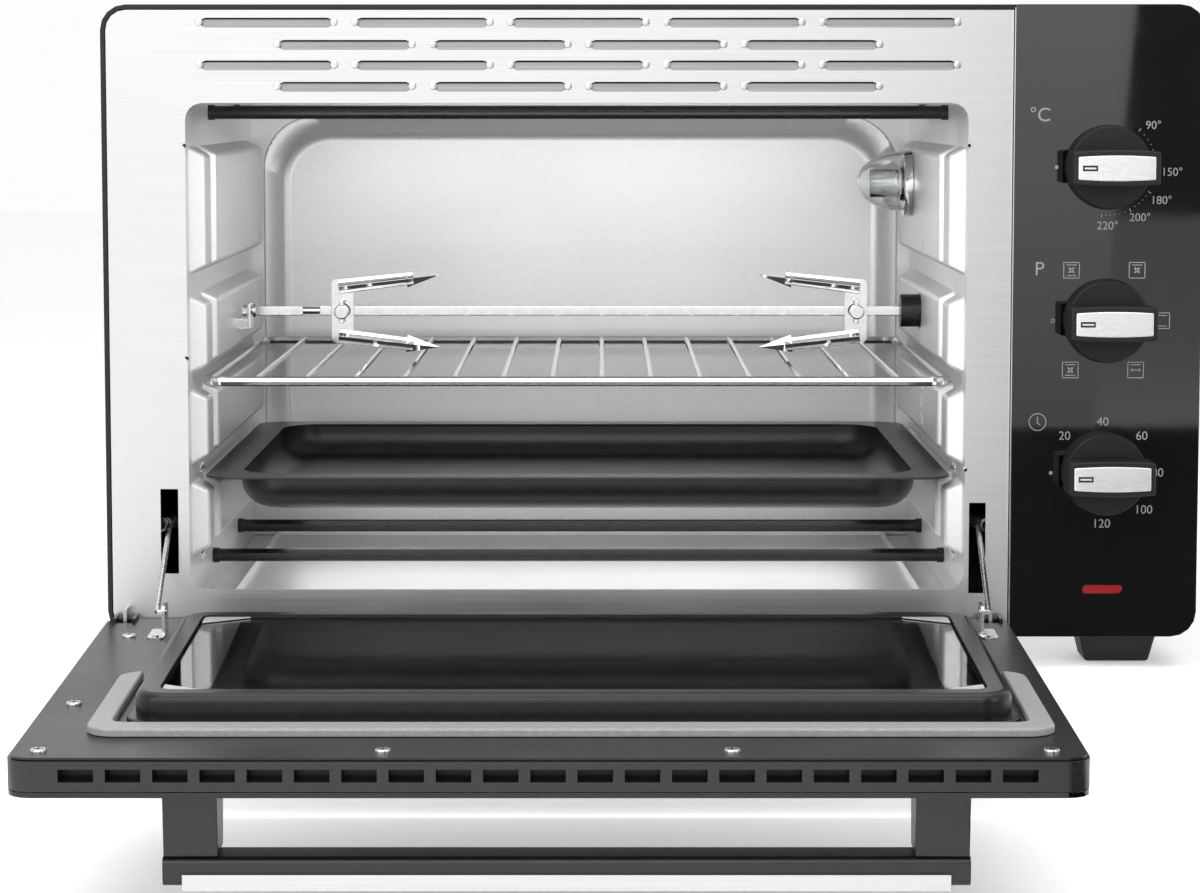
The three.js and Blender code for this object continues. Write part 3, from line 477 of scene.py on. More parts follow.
SQUARE_HOLES = [(y, z) for z in (0.0935, 0.1025, 0.1115) for y in (-0.041, -0.031)] + [
    (-0.038, 0.1815),
    (-0.028, 0.1815),
    (-0.025, 0.128),
]
HOLE_SIZE = 0.006
DRIVE_BORE = 0.019
for node, (wall, inward) in WALLS.items():
    bm = bmesh.new()
    back = wall - SHEET * inward
    add_block(bm, (min(wall, back), -0.1737, CAVITY_FOOT), (max(wall, back), 0.1337, CAVITY_TOP))
    pads = [bmesh.new() for _ in range(8)]
    for pad, ((low, high), (y0, y1)) in zip(pads, [(rows, span) for rows in PADS for span in PAD_SPANS]):
        add_pad(pad, wall, inward, y0, y1, low, high)
    if inward < 0:
        half = HOLE_SIZE / 2
        solids = [bm, *pads]
        for index, solid in enumerate(solids):
            for y, z in SQUARE_HOLES:
                punch = bmesh.new()
                add_block(punch, (0.135, y - half, z - half), (0.155, y + half, z + half))
                solid = carved(solid, punch)
            bore = bmesh.new()
            add_bar(bore, "X", DRIVE_BORE / 2, AXLE, 0.135, 0.158, 32)
            solids[index] = carved(solid, bore)
        bm, *pads = solids
    for pad in pads:
        join_into(bm, pad)
    piece = to_object(node + "_sheet", bm, galvanised)
    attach(piece, "chassis")
    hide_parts(node)

# ---- Cavity roof, floor and back ----
# Folded aluminised sheet, flanged and riveted to the side walls. The back is drawn to a shallow
# dish with large round corners, which stiffens it.
for node in ("cavity_roof", "cavity_floor"):
    dress(node, galvanised, 0.0004)

DISH_LOW = (-0.214, 0.0295)
DISH_HIGH = (0.143, 0.2485)
DISH_CORNER = 0.030
DISH_TAPER = 0.024


def dish(grow, front, rear):
    """The dished panel as a solid: large round corners, sides that slope in and a soft inner edge."""
    bm = bmesh.new()
    low = (DISH_LOW[0] - grow, front, DISH_LOW[1] - grow)
    high = (DISH_HIGH[0] + grow, rear, DISH_HIGH[1] + grow)
    add_plate(bm, low, high, DISH_CORNER + grow, "Y", 14)
    middle = Vector((CAVITY_MIDDLE, rear, 0.139))
    deep = [vert for vert in bm.verts if vert.co.y > rear - 1e-5]
    taper = (1 - DISH_TAPER / 0.357, 1, 1 - DISH_TAPER / 0.219)
    bmesh.ops.scale(bm, vec=taper, verts=deep, space=Matrix.Translation(-middle))
    ring = list({edge for vert in deep for edge in vert.link_edges if edge.other_vert(vert) in deep})
    bmesh.ops.bevel(bm, geom=ring, offset=0.003, segments=5, profile=0.5, affect="EDGES", material=-1)
    return bm


bm = bmesh.new()
add_block(bm, (CAVITY_LEFT, 0.134, CAVITY_FOOT), (CAVITY_RIGHT, 0.135, CAVITY_TOP))
bm = carved(bm, dish(0, 0.1335, 0.147))
join_into(bm, carved(dish(0.001, 0.1345, 0.148), dish(0, 0.1335, 0.147)))
rear = to_object("cavity_back_pressing", bm, galvanised)
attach(rear, "chassis")
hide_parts("cavity_rear_wall")

# ---- Heaters ----
# Four straight sheathed elements, two under the roof and two over the floor, with a collar where
# each passes through the side walls.
sheath = finish(
    "heater_sheath", (0.008, 0.008, 0.008), (0.02, 0.02, 0.02), 0.3, 0.3, (200, 900, 900), 0.08, 0.2
)
HEATER_LINES = {
    "heater_top_front": (-0.076, 0.2505),
    "heater_top_rear": (0.046, 0.2505),
    "heater_bottom_front": (-0.076, 0.0275),
    "heater_bottom_rear": (0.046, 0.0275),
}
ROD_RADIUS = 0.00325
COLLAR_RADIUS = 0.0038
COLLAR = 0.0032
for node, (y, z) in HEATER_LINES.items():
    bm = bmesh.new()
    add_bar(bm, "X", ROD_RADIUS, (y, z), -0.2264, 0.1539, 40)
    for x0, x1 in ((CAVITY_LEFT, CAVITY_LEFT + COLLAR), (CAVITY_RIGHT - COLLAR, CAVITY_RIGHT)):
        add_bar(bm, "X", COLLAR_RADIUS, (y, z), x0, x1, 32)
    piece = to_object(node + "_rod", bm, sheath)
    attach(piece, "chassis")
    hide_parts(node)

# ---- Spit rest ----
# A plated bracket on the left wall, with two notched cheeks that the turned end of the spit drops
# into. It is riveted on through its foot.
chrome = finish("chrome", (0.72, 0.73, 0.74), (0.78, 0.79, 0.80), 1, 0.08, (300, 300, 300), 0.03, 0.0)
bm = bmesh.new()
y, z = AXLE
add_plate(bm, (CAVITY_LEFT, y - 0.0085, z - 0.0130), (-0.2190, y + 0.0085, z + 0.0130), 0.003, "X", 4)
for low, high in (
    ((-0.2195, y - 0.0055, z - 0.0094), (-0.2052, y + 0.0055, z - 0.0040)),
    ((-0.2195, y - 0.0065, z - 0.0094), (-0.2160, y - 0.0042, z + 0.0034)),
    ((-0.2195, y + 0.0042, z - 0.0094), (-0.2160, y + 0.0065, z + 0.0034)),
    ((-0.2072, y - 0.0065, z - 0.0094), (-0.2052, y - 0.0040, z + 0.0036)),
    ((-0.2072, y + 0.0040, z - 0.0094), (-0.2052, y + 0.0065, z + 0.0036)),
):
    add_block(bm, low, high, 0.0006, 2)
bracket = to_object("spit_rest", bm, chrome)
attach(bracket, "chassis")
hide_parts("spit_rest_bracket")

# ---- Oven lamp ----
# A small bulb under a blown glass dome, held to the right wall by a plated ring. The dome is a
# stretched half sphere with a real wall.
glass = finish(
    "clear_glass", (0.95, 0.965, 0.965), (0.98, 0.985, 0.985), 0, 0.04, (120, 120, 120), 0.02, 0.02
)
shader_of(glass)["Transmission Weight"].default_value = 1.0
dress("lamp_ring", chrome, 0.0002)
dress("lamp_bulb", glass, 0)
LAMP_BASE = Vector((0.1364, 0.035, 0.2135))
DOME_RADIUS = 0.0157
DOME_STRETCH = 1.55
DOME_WALL = 0.0014
bm = bmesh.new()
bmesh.ops.create_uvsphere(
    bm, u_segments=48, v_segments=24, radius=DOME_RADIUS, matrix=Matrix.Rotation(math.pi / 2, 4, "Y")
)
bmesh.ops.bisect_plane(
    bm, geom=bm.verts[:] + bm.edges[:] + bm.faces[:], plane_co=(0, 0, 0), plane_no=(1, 0, 0), clear_outer=True
)
bmesh.ops.scale(bm, vec=(DOME_STRETCH, 1, 1), verts=bm.verts)
bmesh.ops.recalc_face_normals(bm, faces=bm.faces)
bmesh.ops.solidify(bm, geom=bm.faces[:], thickness=DOME_WALL)
bmesh.ops.translate(bm, vec=LAMP_BASE, verts=bm.verts)
dome = to_object("lamp_dome", bm, glass)
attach(dome, "chassis")
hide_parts("lamp_glass")

# ---- Liner screws and rivets ----
# Four small screws at the edge of the mouth tie the liner to the steel face, and pairs of rivets
# near the front of each side wall hold the ledges.
bm = bmesh.new()
painted_cross_shade = bmesh.new()
for x, z in ((-0.2207, 0.135), (0.1495, 0.0815), (-0.2207, 0.2355), (0.1495, 0.2355)):
    add_screw(bm, painted_cross_shade, x, -0.1752, z, 0.0013)
for y in (-0.128, -0.120):
    for z in (0.0340, 0.0775, 0.1300):
        for x in (CAVITY_LEFT + 0.0002, CAVITY_RIGHT - 0.0002):
            made = bmesh.ops.create_uvsphere(bm, u_segments=20, v_segments=10, radius=0.0024)["verts"]
            bmesh.ops.scale(bm, vec=(0.45, 1, 1), verts=made)
            bmesh.ops.translate(bm, vec=(x, y, z), verts=made)
piece = to_object("cavity_rivets", bm, screw_steel)
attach(piece, "chassis")
# The crosses are thin black meshes on the plated heads: painted shade for the hollows of the crosses.
piece = to_object("jamb_screw_painted_cross_shade", painted_cross_shade, black_paint)
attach(piece, "chassis")

# ---- Works bay ----
# The switches, the motors and the blower's duct stand on a bracket behind the control panel, in
# zinc-plated and plastic cases.
for node in ("control_bracket", "thermostat_body", "timer_body", "spit_motor", "fan_duct", "fan_impeller"):
    dress(node, galvanised, 0.0002)
dress("selector_switch_body", black_plastic)
dress("fan_motor", sheath)

# ---- Control panel ----
# A gloss black moulding with a red indicator lens let into its foot. A thin bright trim strip
# closes the gap to the steel face.
gloss_black = finish(
    "gloss_black", (0.002, 0.002, 0.0021), (0.003, 0.003, 0.0032), 0, 0.03, (60, 60, 60), 0.01, 0.004
)
shader_of(gloss_black)["Specular IOR Level"].default_value = 0.75
red = finish("red_lens", (0.22, 0.003, 0.005), (0.32, 0.006, 0.008), 0, 0.2, (300, 300, 300), 0.04, 0.05)
dress("control_panel", gloss_black, 0.0006)
dress("indicator_lens", red)
bm = bmesh.new()
add_block(bm, (0.17045, -0.1781, 0.0030), (0.17085, -0.1745, 0.3000), 0.0001, 1)
trim = to_object("panel_edge_trim", bm, chrome)
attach(trim, "chassis")

# ---- Printed marks ----
# Pale grey screen print on the panel: the temperatures and their dots, five plain oven signs for
# the functions, and a clock sign with the minutes.
ink = finish("print_ink", (0.24, 0.24, 0.24), (0.29, 0.29, 0.29), 0, 0.5, (500, 500, 500), 0.05, 0.02)
PRINT_Y = -0.17808
KNOB_X = 0.215
KNOB_HEIGHTS = {"thermostat": 0.2252, "function": 0.1527, "timer": 0.0802}
printed = bmesh.new()


def print_text(words, x, z, size):
    """Letters centred on a point of the panel."""
    letters = bpy.data.curves.new(words, "FONT")
    letters.body = words
    letters.size = size
    letters.align_x = "CENTER"
    letters.align_y = "CENTER"
    flat = bpy.data.objects.new(words, letters)
    bpy.context.scene.collection.objects.link(flat)
    bpy.context.view_layer.update()
    mesh = bpy.data.meshes.new_from_object(flat.evaluated_get(bpy.context.evaluated_depsgraph_get()))
    mesh.transform(Matrix.Translation((x, PRINT_Y, z)) @ Matrix.Rotation(math.pi / 2, 4, "X"))
    printed.from_mesh(mesh)
    bpy.data.objects.remove(flat)


def print_line(x, z, width, height, turn=0.0, about=(0, 0)):
    """A printed bar; turn swings it about a point of the panel."""
    made = bmesh.ops.create_grid(printed, x_segments=1, y_segments=1, size=0.5)["verts"]
    bmesh.ops.scale(printed, vec=(width, height, 1), verts=made)
    bmesh.ops.rotate(printed, cent=(0, 0, 0), matrix=Matrix.Rotation(math.pi / 2, 3, "X"), verts=made)
    bmesh.ops.translate(printed, vec=(x, PRINT_Y, z), verts=made)
    bmesh.ops.rotate(
        printed, cent=(about[0], PRINT_Y, about[1]), matrix=Matrix.Rotation(-turn, 3, "Y"), verts=made
    )


def print_dot(x, z, radius, sides=20):
    """A filled round dot."""
    made = bmesh.ops.create_circle(printed, cap_ends=True, segments=sides, radius=radius)["verts"]
    bmesh.ops.rotate(printed, cent=(0, 0, 0), matrix=Matrix.Rotation(math.pi / 2, 3, "X"), verts=made)
    bmesh.ops.translate(printed, vec=(x, PRINT_Y, z), verts=made)


def print_ring(x, z, radius, line):
    """A ring whose outer radius is radius and whose stroke is line wide."""
    made = bmesh.ops.create_circle(printed, segments=36, radius=radius)
    edges = list({edge for vert in made["verts"] for edge in vert.link_edges})
    grown = bmesh.ops.extrude_edge_only(printed, edges=edges)["geom"]
    inner = [item for item in grown if isinstance(item, bmesh.types.BMVert)]
    bmesh.ops.scale(printed, vec=((radius - line) / radius,) * 3, verts=inner)
    every = made["verts"] + inner
    bmesh.ops.rotate(printed, cent=(0, 0, 0), matrix=Matrix.Rotation(math.pi / 2, 3, "X"), verts=every)
    bmesh.ops.translate(printed, vec=(x, PRINT_Y, z), verts=every)


def print_oven_sign(x, z, bars, fan, spit):
    """A square oven sign: a heater bar at the top (1) or foot (-1), a fan or a spit."""
    half = 0.0037
    line = 0.00042
    for side in (-1, 1):
        print_line(x, z + side * half, 2 * half + line, line)
        print_line(x + side * half, z, line, 2 * half)
    for place in bars:
        print_line(x, z + place * 0.0025, 0.0049, line)
    for petal in range(4 if fan else 0):
        print_line(x + 0.0008, z + 0.0006, 0.0016, 0.0007, petal * math.pi / 2 + 0.3, (x, z))
    if spit:
        print_line(x, z, 0.0044, line)
        for side in (-1, 1):
            for slant in (-1, 1):
                print_line(
                    x + side * 0.0022, z + slant * 0.0005, line, 0.0015, slant * side * 0.6,
                    (x + side * 0.0025, z)
                )


top = KNOB_HEIGHTS["thermostat"]
print_text("°C", KNOB_X - 0.0323, top + 0.0243, 0.0092)
for words, x, z in (
    ("90°", 0.0211, 0.0196),
    ("150°", 0.0302, -0.0024),
    ("180°", 0.0254, -0.0157),
    ("200°", 0.0154, -0.0238),
    ("220°", 0.0001, -0.0277),
):
    print_text(words, KNOB_X + x, top + z, 0.0054)
for angle in (50, -31, -62, -97):
    print_line(KNOB_X + 0.0229, top, 0.0018, 0.0004, math.radians(angle), (KNOB_X, top))
for angle in (42, 35, 28, 21, -37, -43, -49, -55, -69, -75, -81, -87, -92):
    way = math.radians(angle)
    print_dot(KNOB_X + 0.0226 * math.cos(way), top + 0.0226 * math.sin(way), 0.00025, 10)
print_dot(KNOB_X - 0.0243, top, 0.0009)

middle = KNOB_HEIGHTS["function"]
print_text("P", KNOB_X - 0.0318, middle + 0.0243, 0.0092)
print_oven_sign(KNOB_X - 0.0166, middle + 0.0239, (-1, 1), True, False)
print_oven_sign(KNOB_X + 0.0144, middle + 0.0239, (1,), True, False)
print_oven_sign(KNOB_X + 0.0264, middle, (-1, 1), False, False)
print_oven_sign(KNOB_X + 0.0144, middle - 0.0234, (1,), False, True)
print_oven_sign(KNOB_X - 0.0166, middle - 0.0234, (1, -1), True, False)
print_ring(KNOB_X - 0.0252, middle, 0.0010, 0.0003)

low = KNOB_HEIGHTS["timer"]
print_ring(KNOB_X - 0.0318, low + 0.0243, 0.0042, 0.0004)
print_line(KNOB_X - 0.0318, low + 0.0256, 0.0004, 0.0026)
print_line(KNOB_X - 0.0310, low + 0.0239, 0.0022, 0.0004, -0.6, (KNOB_X - 0.0318, low + 0.0243))
for words, x, z in (
    ("20", -0.0189, 0.0176),
    ("40", -0.0008, 0.0243),
    ("60", 0.0178, 0.0176),
    ("80", 0.0256, 0.0),
    ("100", 0.0192, -0.0177),
    ("120", -0.0008, -0.0244),
):
    print_text(words, KNOB_X + x, low + z, 0.0058)
print_dot(KNOB_X - 0.0252, low, 0.0009)
marks = to_object("panel_print", printed, ink)
for face in marks.data.polygons:
    face.use_smooth = False
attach(marks, "chassis")

# ---- Knobs ----
# Three grained black mouldings, each with a bowed grip bar across its dial and a satin silver insert
# let into the grip. A cut slot with a bright bead in it marks the pointing end.
KNOB_BACK = -0.1783
KNOB_TIP = -0.208
silver = finish(
    "silver_plastic", (0.74, 0.74, 0.74), (0.84, 0.84, 0.84), 0.7, 0.24, (200, 900, 900), 0.04, 0.04
)


def add_barrel(bm, half, z, height, back, front, bulge, corner):
    """A bar across the knob whose long sides bow outwards, alone in its bmesh."""
    made = bmesh.ops.create_cube(bm, size=1)["verts"]
    bmesh.ops.scale(bm, vec=(2 * half, back - front, 2 * height), verts=made)
    long_edges = [
        e for e in {e for v in made for e in v.link_edges}
        if abs(e.verts[0].co.x - e.verts[1].co.x) > half
    ]
    bmesh.ops.subdivide_edges(bm, edges=long_edges, cuts=11, use_grid_fill=True)
    for vert in bm.verts:
        if abs(vert.co.z) <= height * 1.01 and abs(vert.co.x) <= half * 1.01 and vert.tag is False:
            vert.co.z *= 1 + bulge * (1 - (vert.co.x / half) ** 2)
    edges = [e for e in bm.edges if not e.tag and e.calc_face_angle(0) > 0.7]
    bmesh.ops.bevel(
        bm, geom=edges, offset=corner, segments=3, profile=0.5, affect="EDGES", material=-1,
        clamp_overlap=True
    )
    bmesh.ops.translate(bm, vec=(KNOB_X, (back + front) / 2, z), verts=bm.verts)


for name, z in KNOB_HEIGHTS.items():
    bm = bmesh.new()
    add_barrel(bm, 0.0203, z, 0.0076, KNOB_BACK - 0.008, KNOB_TIP + 0.0005, 0.12, 0.0009)
    dial = add_bar(bm, "Y", 0.0194, (KNOB_X, z), KNOB_BACK - 0.009, KNOB_BACK, 96, tip=0.020)
    rim = [
        e for v in dial for e in v.link_edges
        if v.co.y < KNOB_BACK - 0.004 and e.other_vert(v).co.y < KNOB_BACK - 0.004
    ]
    bmesh.ops.bevel(
        bm, geom=list(set(rim)), offset=0.0007, segments=3, profile=0.5, affect="EDGES", material=-1
    )
    grip = to_object(name + "_grip", bm, black_plastic)
    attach(grip, name + "_dial")
    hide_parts(name + "_knob")
    bm = bmesh.new()
    add_barrel(bm, 0.0180, z, 0.0053, KNOB_TIP + 0.003, KNOB_TIP, 0.13, 0.0005)
    insert = to_object(name + "_insert", bm, silver)
    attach(insert, name + "_dial")
    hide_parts(name + "_knob_insert")
    bm = bmesh.new()
    add_block(
        bm, (KNOB_X - 0.0160, KNOB_TIP - 0.00005, z - 0.0013),
        (KNOB_X - 0.0090, KNOB_TIP + 0.001, z + 0.0013), 0.00002
    )
    ends = [e for e in bm.edges if abs(e.verts[0].co.y - e.verts[1].co.y) > 0.0008]
    bmesh.ops.bevel(bm, geom=ends, offset=0.00125, segments=6, profile=0.5, affect="EDGES", material=-1)
    cut = to_object(name + "_pointer", bm, black_plastic)
    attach(cut, name + "_dial")
    bm = bmesh.new()
    add_block(
        bm, (KNOB_X - 0.0152, KNOB_TIP - 0.00012, z - 0.0004), (KNOB_X - 0.0098, KNOB_TIP, z + 0.0004),
        0.0001, 1
    )
    bead = to_object(name + "_pointer_bead", bm, silver)
    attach(bead, name + "_dial")

# ---- Spit ----
# A square chromed rod, with a groove near its left end and a turned tip that lies in the rest. Its
# right end fits the drive socket.
dress("spit_drive_socket", sheath)
bm = bmesh.new()
ROD_HALF = 0.0025
y, z = AXLE
for x0, x1 in ((-0.2035, -0.1785), (-0.1700, 0.139)):
    add_block(bm, (x0, y - ROD_HALF, z - ROD_HALF), (x1, y + ROD_HALF, z + ROD_HALF), 0.0005, 3)
for x0, x1, radius in (
    (-0.2100, -0.2055, 0.0030),
    (-0.2060, -0.2030, 0.0020),
    (-0.2045, -0.2030, 0.0034),
    (-0.1790, -0.1695, 0.0018),
):
    add_bar(bm, "X", radius, AXLE, x0, x1, 32)
rod = to_object("spit_rod", bm, chrome)
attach(rod, "spit")
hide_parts("spit_shaft")

# ---- Forks and thumb screws ----
# Each fork is a plate with two ridged arms pressed from one strip, on a square collar that slides
# along the rod. A winged screw through the collar locks it.
ARM_LENGTH = 0.037
ARM_HALF = 0.0039
ARM_ANGLE = math.radians(-6.5)
ARM_SPREAD = 0.0130
y, z = AXLE


def add_tine(bm, root, towards, side):
    """A pressed arm with a ridge along its face, and the point at its end."""
    arm = bmesh.new()
    add_block(arm, (-0.002, -0.0014, -ARM_HALF), (ARM_LENGTH, 0.0006, ARM_HALF))
    upright = [e for e in arm.edges if abs(e.verts[0].co.z - e.verts[1].co.z) > 0.004]
    bmesh.ops.subdivide_edges(arm, edges=upright, cuts=3)
    for vert in arm.verts:
        if abs(vert.co.z) < 0.0010:
            vert.co.y -= 0.0013
        elif abs(vert.co.z) < 0.0034:
            vert.co.y -= 0.0002
        vert.co.z *= 1 - 0.16 * max(vert.co.x, 0) / ARM_LENGTH
    bmesh.ops.bevel(
        arm, geom=arm.edges, offset=0.0002, segments=1, profile=0.5, affect="EDGES", material=-1
    )
    point = bmesh.ops.create_cone(
        arm,
        cap_ends=True,
        segments=4,
        radius1=0.0046,
        radius2=0.0001,
        depth=0.0170,
        matrix=Matrix.Translation((0.0418, -0.0004, 0)) @ Matrix.Rotation(math.pi / 2, 4, "Y"),
    )["verts"]
    for vert in point:
        vert.co.y = -0.0004 + 0.5 * (vert.co.y + 0.0004)
    bmesh.ops.rotate(arm, cent=(0, 0, 0), matrix=Matrix.Rotation(ARM_ANGLE, 3, "Y"), verts=arm.verts)
    bmesh.ops.translate(arm, vec=(0, 0, ARM_SPREAD), verts=arm.verts)
    bmesh.ops.scale(arm, vec=(towards, 1, side), verts=arm.verts)
    bmesh.ops.translate(arm, vec=root, verts=arm.verts)
    join_into(bm, arm)


for side, x, towards in (("left", -0.1578, 1), ("right", 0.1078, -1)):
    root = (x, y - 0.0046, z)
    low = (x - 0.0056, root[1] - 0.0010, z - 0.0166)
    high = (x + 0.0056, root[1] + 0.0006, z + 0.0166)
    bm = bmesh.new()
    add_plate(bm, low, high, 0.0028, "Y", 5)
    add_block(bm, (x - 0.006, y - 0.0042, z - 0.0055), (x + 0.006, y + 0.0045, z + 0.0055), 0.0006, 2)
    for arm in (-1, 1):
        add_tine(bm, root, towards, arm)
    fork = to_object("fork_pressing_" + side, bm, chrome, 30)
    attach(fork, "fork_" + side)
    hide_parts("spit_fork_" + side)
    bm = bmesh.new()
    add_bar(bm, "Y", 0.0022, (x, z), y - 0.012, y - 0.0036, 24)
    head = add_bar(bm, "Y", 0.0038, (x, z), y - 0.0150, y - 0.0100, 32)
    rim = {e for v in head for e in v.link_edges if v.co.y < y - 0.014 and e.other_vert(v).co.y < y - 0.014}
    bmesh.ops.bevel(bm, geom=list(rim), offset=0.0009, segments=3, profile=0.5, affect="EDGES", material=-1)
    for wing in (-1, 1):
        place = 0.0030 * wing
        add_block(
            bm,
            (x - 0.0012, y - 0.0138, z + place - 0.0030),
            (x + 0.0012, y - 0.0112, z + place + 0.0030),
            0.0006,
            2,
        )
    screw = to_object("thumb_screw_" + side, bm, chrome)
    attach(screw, "thumb_screw_" + side)
    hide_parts("fork_screw_" + side)

# ---- Wire rack ----
# Fourteen chromed wires welded across a thicker rim wire with bent corners. A second wire behind
# the front one stiffens the edge.


def add_wires(name, routes, material, sides=10):
    """Round wires along lists of points; each route is (points, radius, closed)."""
    curve = bpy.data.curves.new(name, "CURVE")
    curve.dimensions = "3D"
    curve.bevel_depth = 1.0
    curve.bevel_resolution = max(sides // 4, 1)
    curve.use_fill_caps = True
    for points, radius, closed in routes:
        line = curve.splines.new("POLY")
        line.points.add(len(points) - 1)
        for point, at in zip(line.points, points):
            point.co = (*at, 1)
            point.radius = radius
        line.use_cyclic_u = closed
    wires = bpy.data.objects.new(name, curve)
    bpy.context.scene.collection.objects.link(wires)
    bpy.context.view_layer.update()
    mesh = bpy.data.meshes.new_from_object(wires.evaluated_get(bpy.context.evaluated_depsgraph_get()))
    bpy.data.objects.remove(wires)
    bm = bmesh.new()
    bm.from_mesh(mesh)
    return to_object(name, bm, material)


def round_corner(centre, radius, start, steps=8):
    """Points of a quarter turn in the level plane."""
    turns = [start + math.pi / 2 * k / steps for k in range(steps + 1)]
    return [(centre[0] + radius * math.cos(t), centre[1] + radius * math.sin(t), centre[2]) for t in turns]


RACK_Z = 0.1225
x0, x1, y0, y1 = -0.2137, 0.1427, -0.1607, 0.1257
bend = 0.009
rim_route = (
    round_corner((x1 - bend, y1 - bend, RACK_Z), bend, 0)
    + round_corner((x0 + bend, y1 - bend, RACK_Z), bend, math.pi / 2)
    + round_corner((x0 + bend, y0 + bend, RACK_Z), bend, math.pi)
    + round_corner((x1 - bend, y0 + bend, RACK_Z), bend, 1.5 * math.pi)
)
stiffener = [(x0, y0 + 0.008, RACK_Z - 0.0006), (x1, y0 + 0.008, RACK_Z - 0.0006)]
routes = [(rim_route, 0.0023, True), (stiffener, 0.0018, False)]
RACK_WIRES = 14
for bar in range(RACK_WIRES):
    x = x0 + (bar + 1) * (x1 - x0) / (RACK_WIRES + 1)
    routes.append(([(x, y0, RACK_Z + 0.0006), (x, y1, RACK_Z + 0.0006)], 0.0015, False))
rack = add_wires("rack_wires", routes, chrome)
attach(rack, "rack")
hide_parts("wire_rack")

# ---- Baking tray ----
# A deep-drawn steel tray in black enamel, with a flat flange that rides on the ledges and a well
# with wide curves down to its flat bottom.
enamel = finish(
    "black_enamel", (0.014, 0.014, 0.0145), (0.022, 0.022, 0.0225), 0, 0.34, (250, 250, 250), 0.03, 0.02
)
TRAY_TOP = 0.0765


def tray_well(shrink, bottom, top):
    """The drawn well as a solid: upright ends, a wide curve down to the flat bottom."""
    bm = bmesh.new()
    step = 0.015 + shrink
    low = (-0.2155 + step, -0.163 + step, bottom)
    high = (0.1445 - step, 0.128 - step, top)
    add_plate(bm, low, high, 0.024 - shrink, "Z", 10)
    ring = [e for e in bm.edges if e.verts[0].co.z < bottom + 1e-5 and e.verts[1].co.z < bottom + 1e-5]
    bmesh.ops.bevel(
        bm, geom=ring, offset=0.0135 - shrink, segments=8, profile=0.5, affect="EDGES", material=-1
    )
    return bm


flange = bmesh.new()
add_plate(flange, (-0.2155, -0.163, TRAY_TOP - 0.0012), (0.1445, 0.128, TRAY_TOP), 0.016, "Z", 8)
rims = [
    e for e in flange.edges
    if abs(e.verts[0].co.z - e.verts[1].co.z) < 1e-6 and e.calc_face_angle(0) > 0.7
]
bmesh.ops.bevel(flange, geom=rims, offset=0.0005, segments=2, profile=0.5, affect="EDGES", material=-1)
TRAY_SHEET = 0.0012
bm = carved(flange, tray_well(TRAY_SHEET, TRAY_TOP - 0.0168, TRAY_TOP + 0.004))
outside = tray_well(0, TRAY_TOP - 0.018, TRAY_TOP - 0.0006)
join_into(bm, carved(outside, tray_well(TRAY_SHEET, TRAY_TOP - 0.0168, TRAY_TOP + 0.004)))
tray = to_object("tray_pressing", bm, enamel, 40)
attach(tray, "tray")
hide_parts("baking_tray")

# ---- Crumb tray ----
# A shallow tray folded from aluminised sheet, which lies loose on the cavity's floor under the
# lower heaters.
dress("crumb_tray", galvanised, 0.0003)

# ---- Door frame and outer glass ----
# A black moulded frame with air slots along its top edge, behind a tinted outer glass. The door's
# own pieces are drawn closed, with the pivot at the origin, and then swung open.
DOOR_PIVOT = (0, -0.1795, 0.0101)
DOOR_ANGLE = math.radians(92.3)
DOOR_OPEN = Matrix.Translation(DOOR_PIVOT) @ Matrix.Rotation(DOOR_ANGLE, 4, "X")
door_black = finish(
    "door_plastic", (0.005, 0.005, 0.0055), (0.010, 0.010, 0.0105), 0, 0.34, (700, 700, 700), 0.05, 0.15
)
tinted = finish(
    "dark_glass", (0.035, 0.037, 0.040), (0.045, 0.047, 0.05), 0, 0.03, (20, 20, 20), 0.01, 0.004
)
shader_of(tinted)["Transmission Weight"].default_value = 1.0


def hang(piece, name_of_slot, *nodes):
    """Swings a piece that was drawn closed to the open door and fixes it there."""
    piece.data.transform(DOOR_OPEN)
    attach(piece, "door")
    if nodes:
        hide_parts(*nodes)


dress("door_frame", door_black, 0.0004)
dress("door_outer_glass", tinted)

# ---- Door inner panel ----
# Pressed steel in satin black: a flat sheet, a low skirt and a raised plug that fits the mouth,
# all with the same window. It is notched at the foot for the hinge ears.
panel_black = finish(
    "door_panel_paint", (0.006, 0.006, 0.0065), (0.012, 0.012, 0.0125), 0.2, 0.33, (500, 500, 500),
    0.05, 0.12
)


def window_cutter():
    """The solid that cuts the window out of each layer of the panel."""
    hole = bmesh.new()
    add_plate(hole, (-0.2075, -0.02, 0.054), (0.1365, 0.03, 0.219), 0.006)
    return hole


sheet = bmesh.new()
add_plate(sheet, (-0.2585, -0.001, -0.002), (0.1685, 0, 0.290), 0.008)
sheet = carved(sheet, window_cutter())
for x in (-0.2564, 0.1554):
    notch = bmesh.new()
    add_block(notch, (x, -0.02, -0.0100), (x + 0.0116, 0.004, 0.0095))
    sheet = carved(sheet, notch)

skirt = bmesh.new()
add_plate(skirt, (-0.2210, -0.0005, 0.041), (0.1500, 0.0018, 0.2350), 0.017, steps=10)
rim = [e for e in skirt.edges if e.verts[0].co.y > 0.0017 and e.verts[1].co.y > 0.0017]
bmesh.ops.bevel(skirt, geom=rim, offset=0.0014, segments=3, profile=0.5, affect="EDGES", material=-1)
skirt = carved(skirt, window_cutter())

plug = bmesh.new()
add_plate(plug, (-0.2175, -0.0005, 0.044), (0.1465, 0.0126, 0.229), 0.014, steps=10)
rim = [e for e in plug.edges if e.verts[0].co.y > 0.012 and e.verts[1].co.y > 0.012]
bmesh.ops.bevel(plug, geom=rim, offset=0.0038, segments=5, profile=0.5, affect="EDGES", material=-1)
hollow = bmesh.new()
add_plate(hollow, (-0.2140, -0.02, 0.0475), (0.1430, 0.0112, 0.2255), 0.012)
plug = carved(carved(plug, hollow), window_cutter())

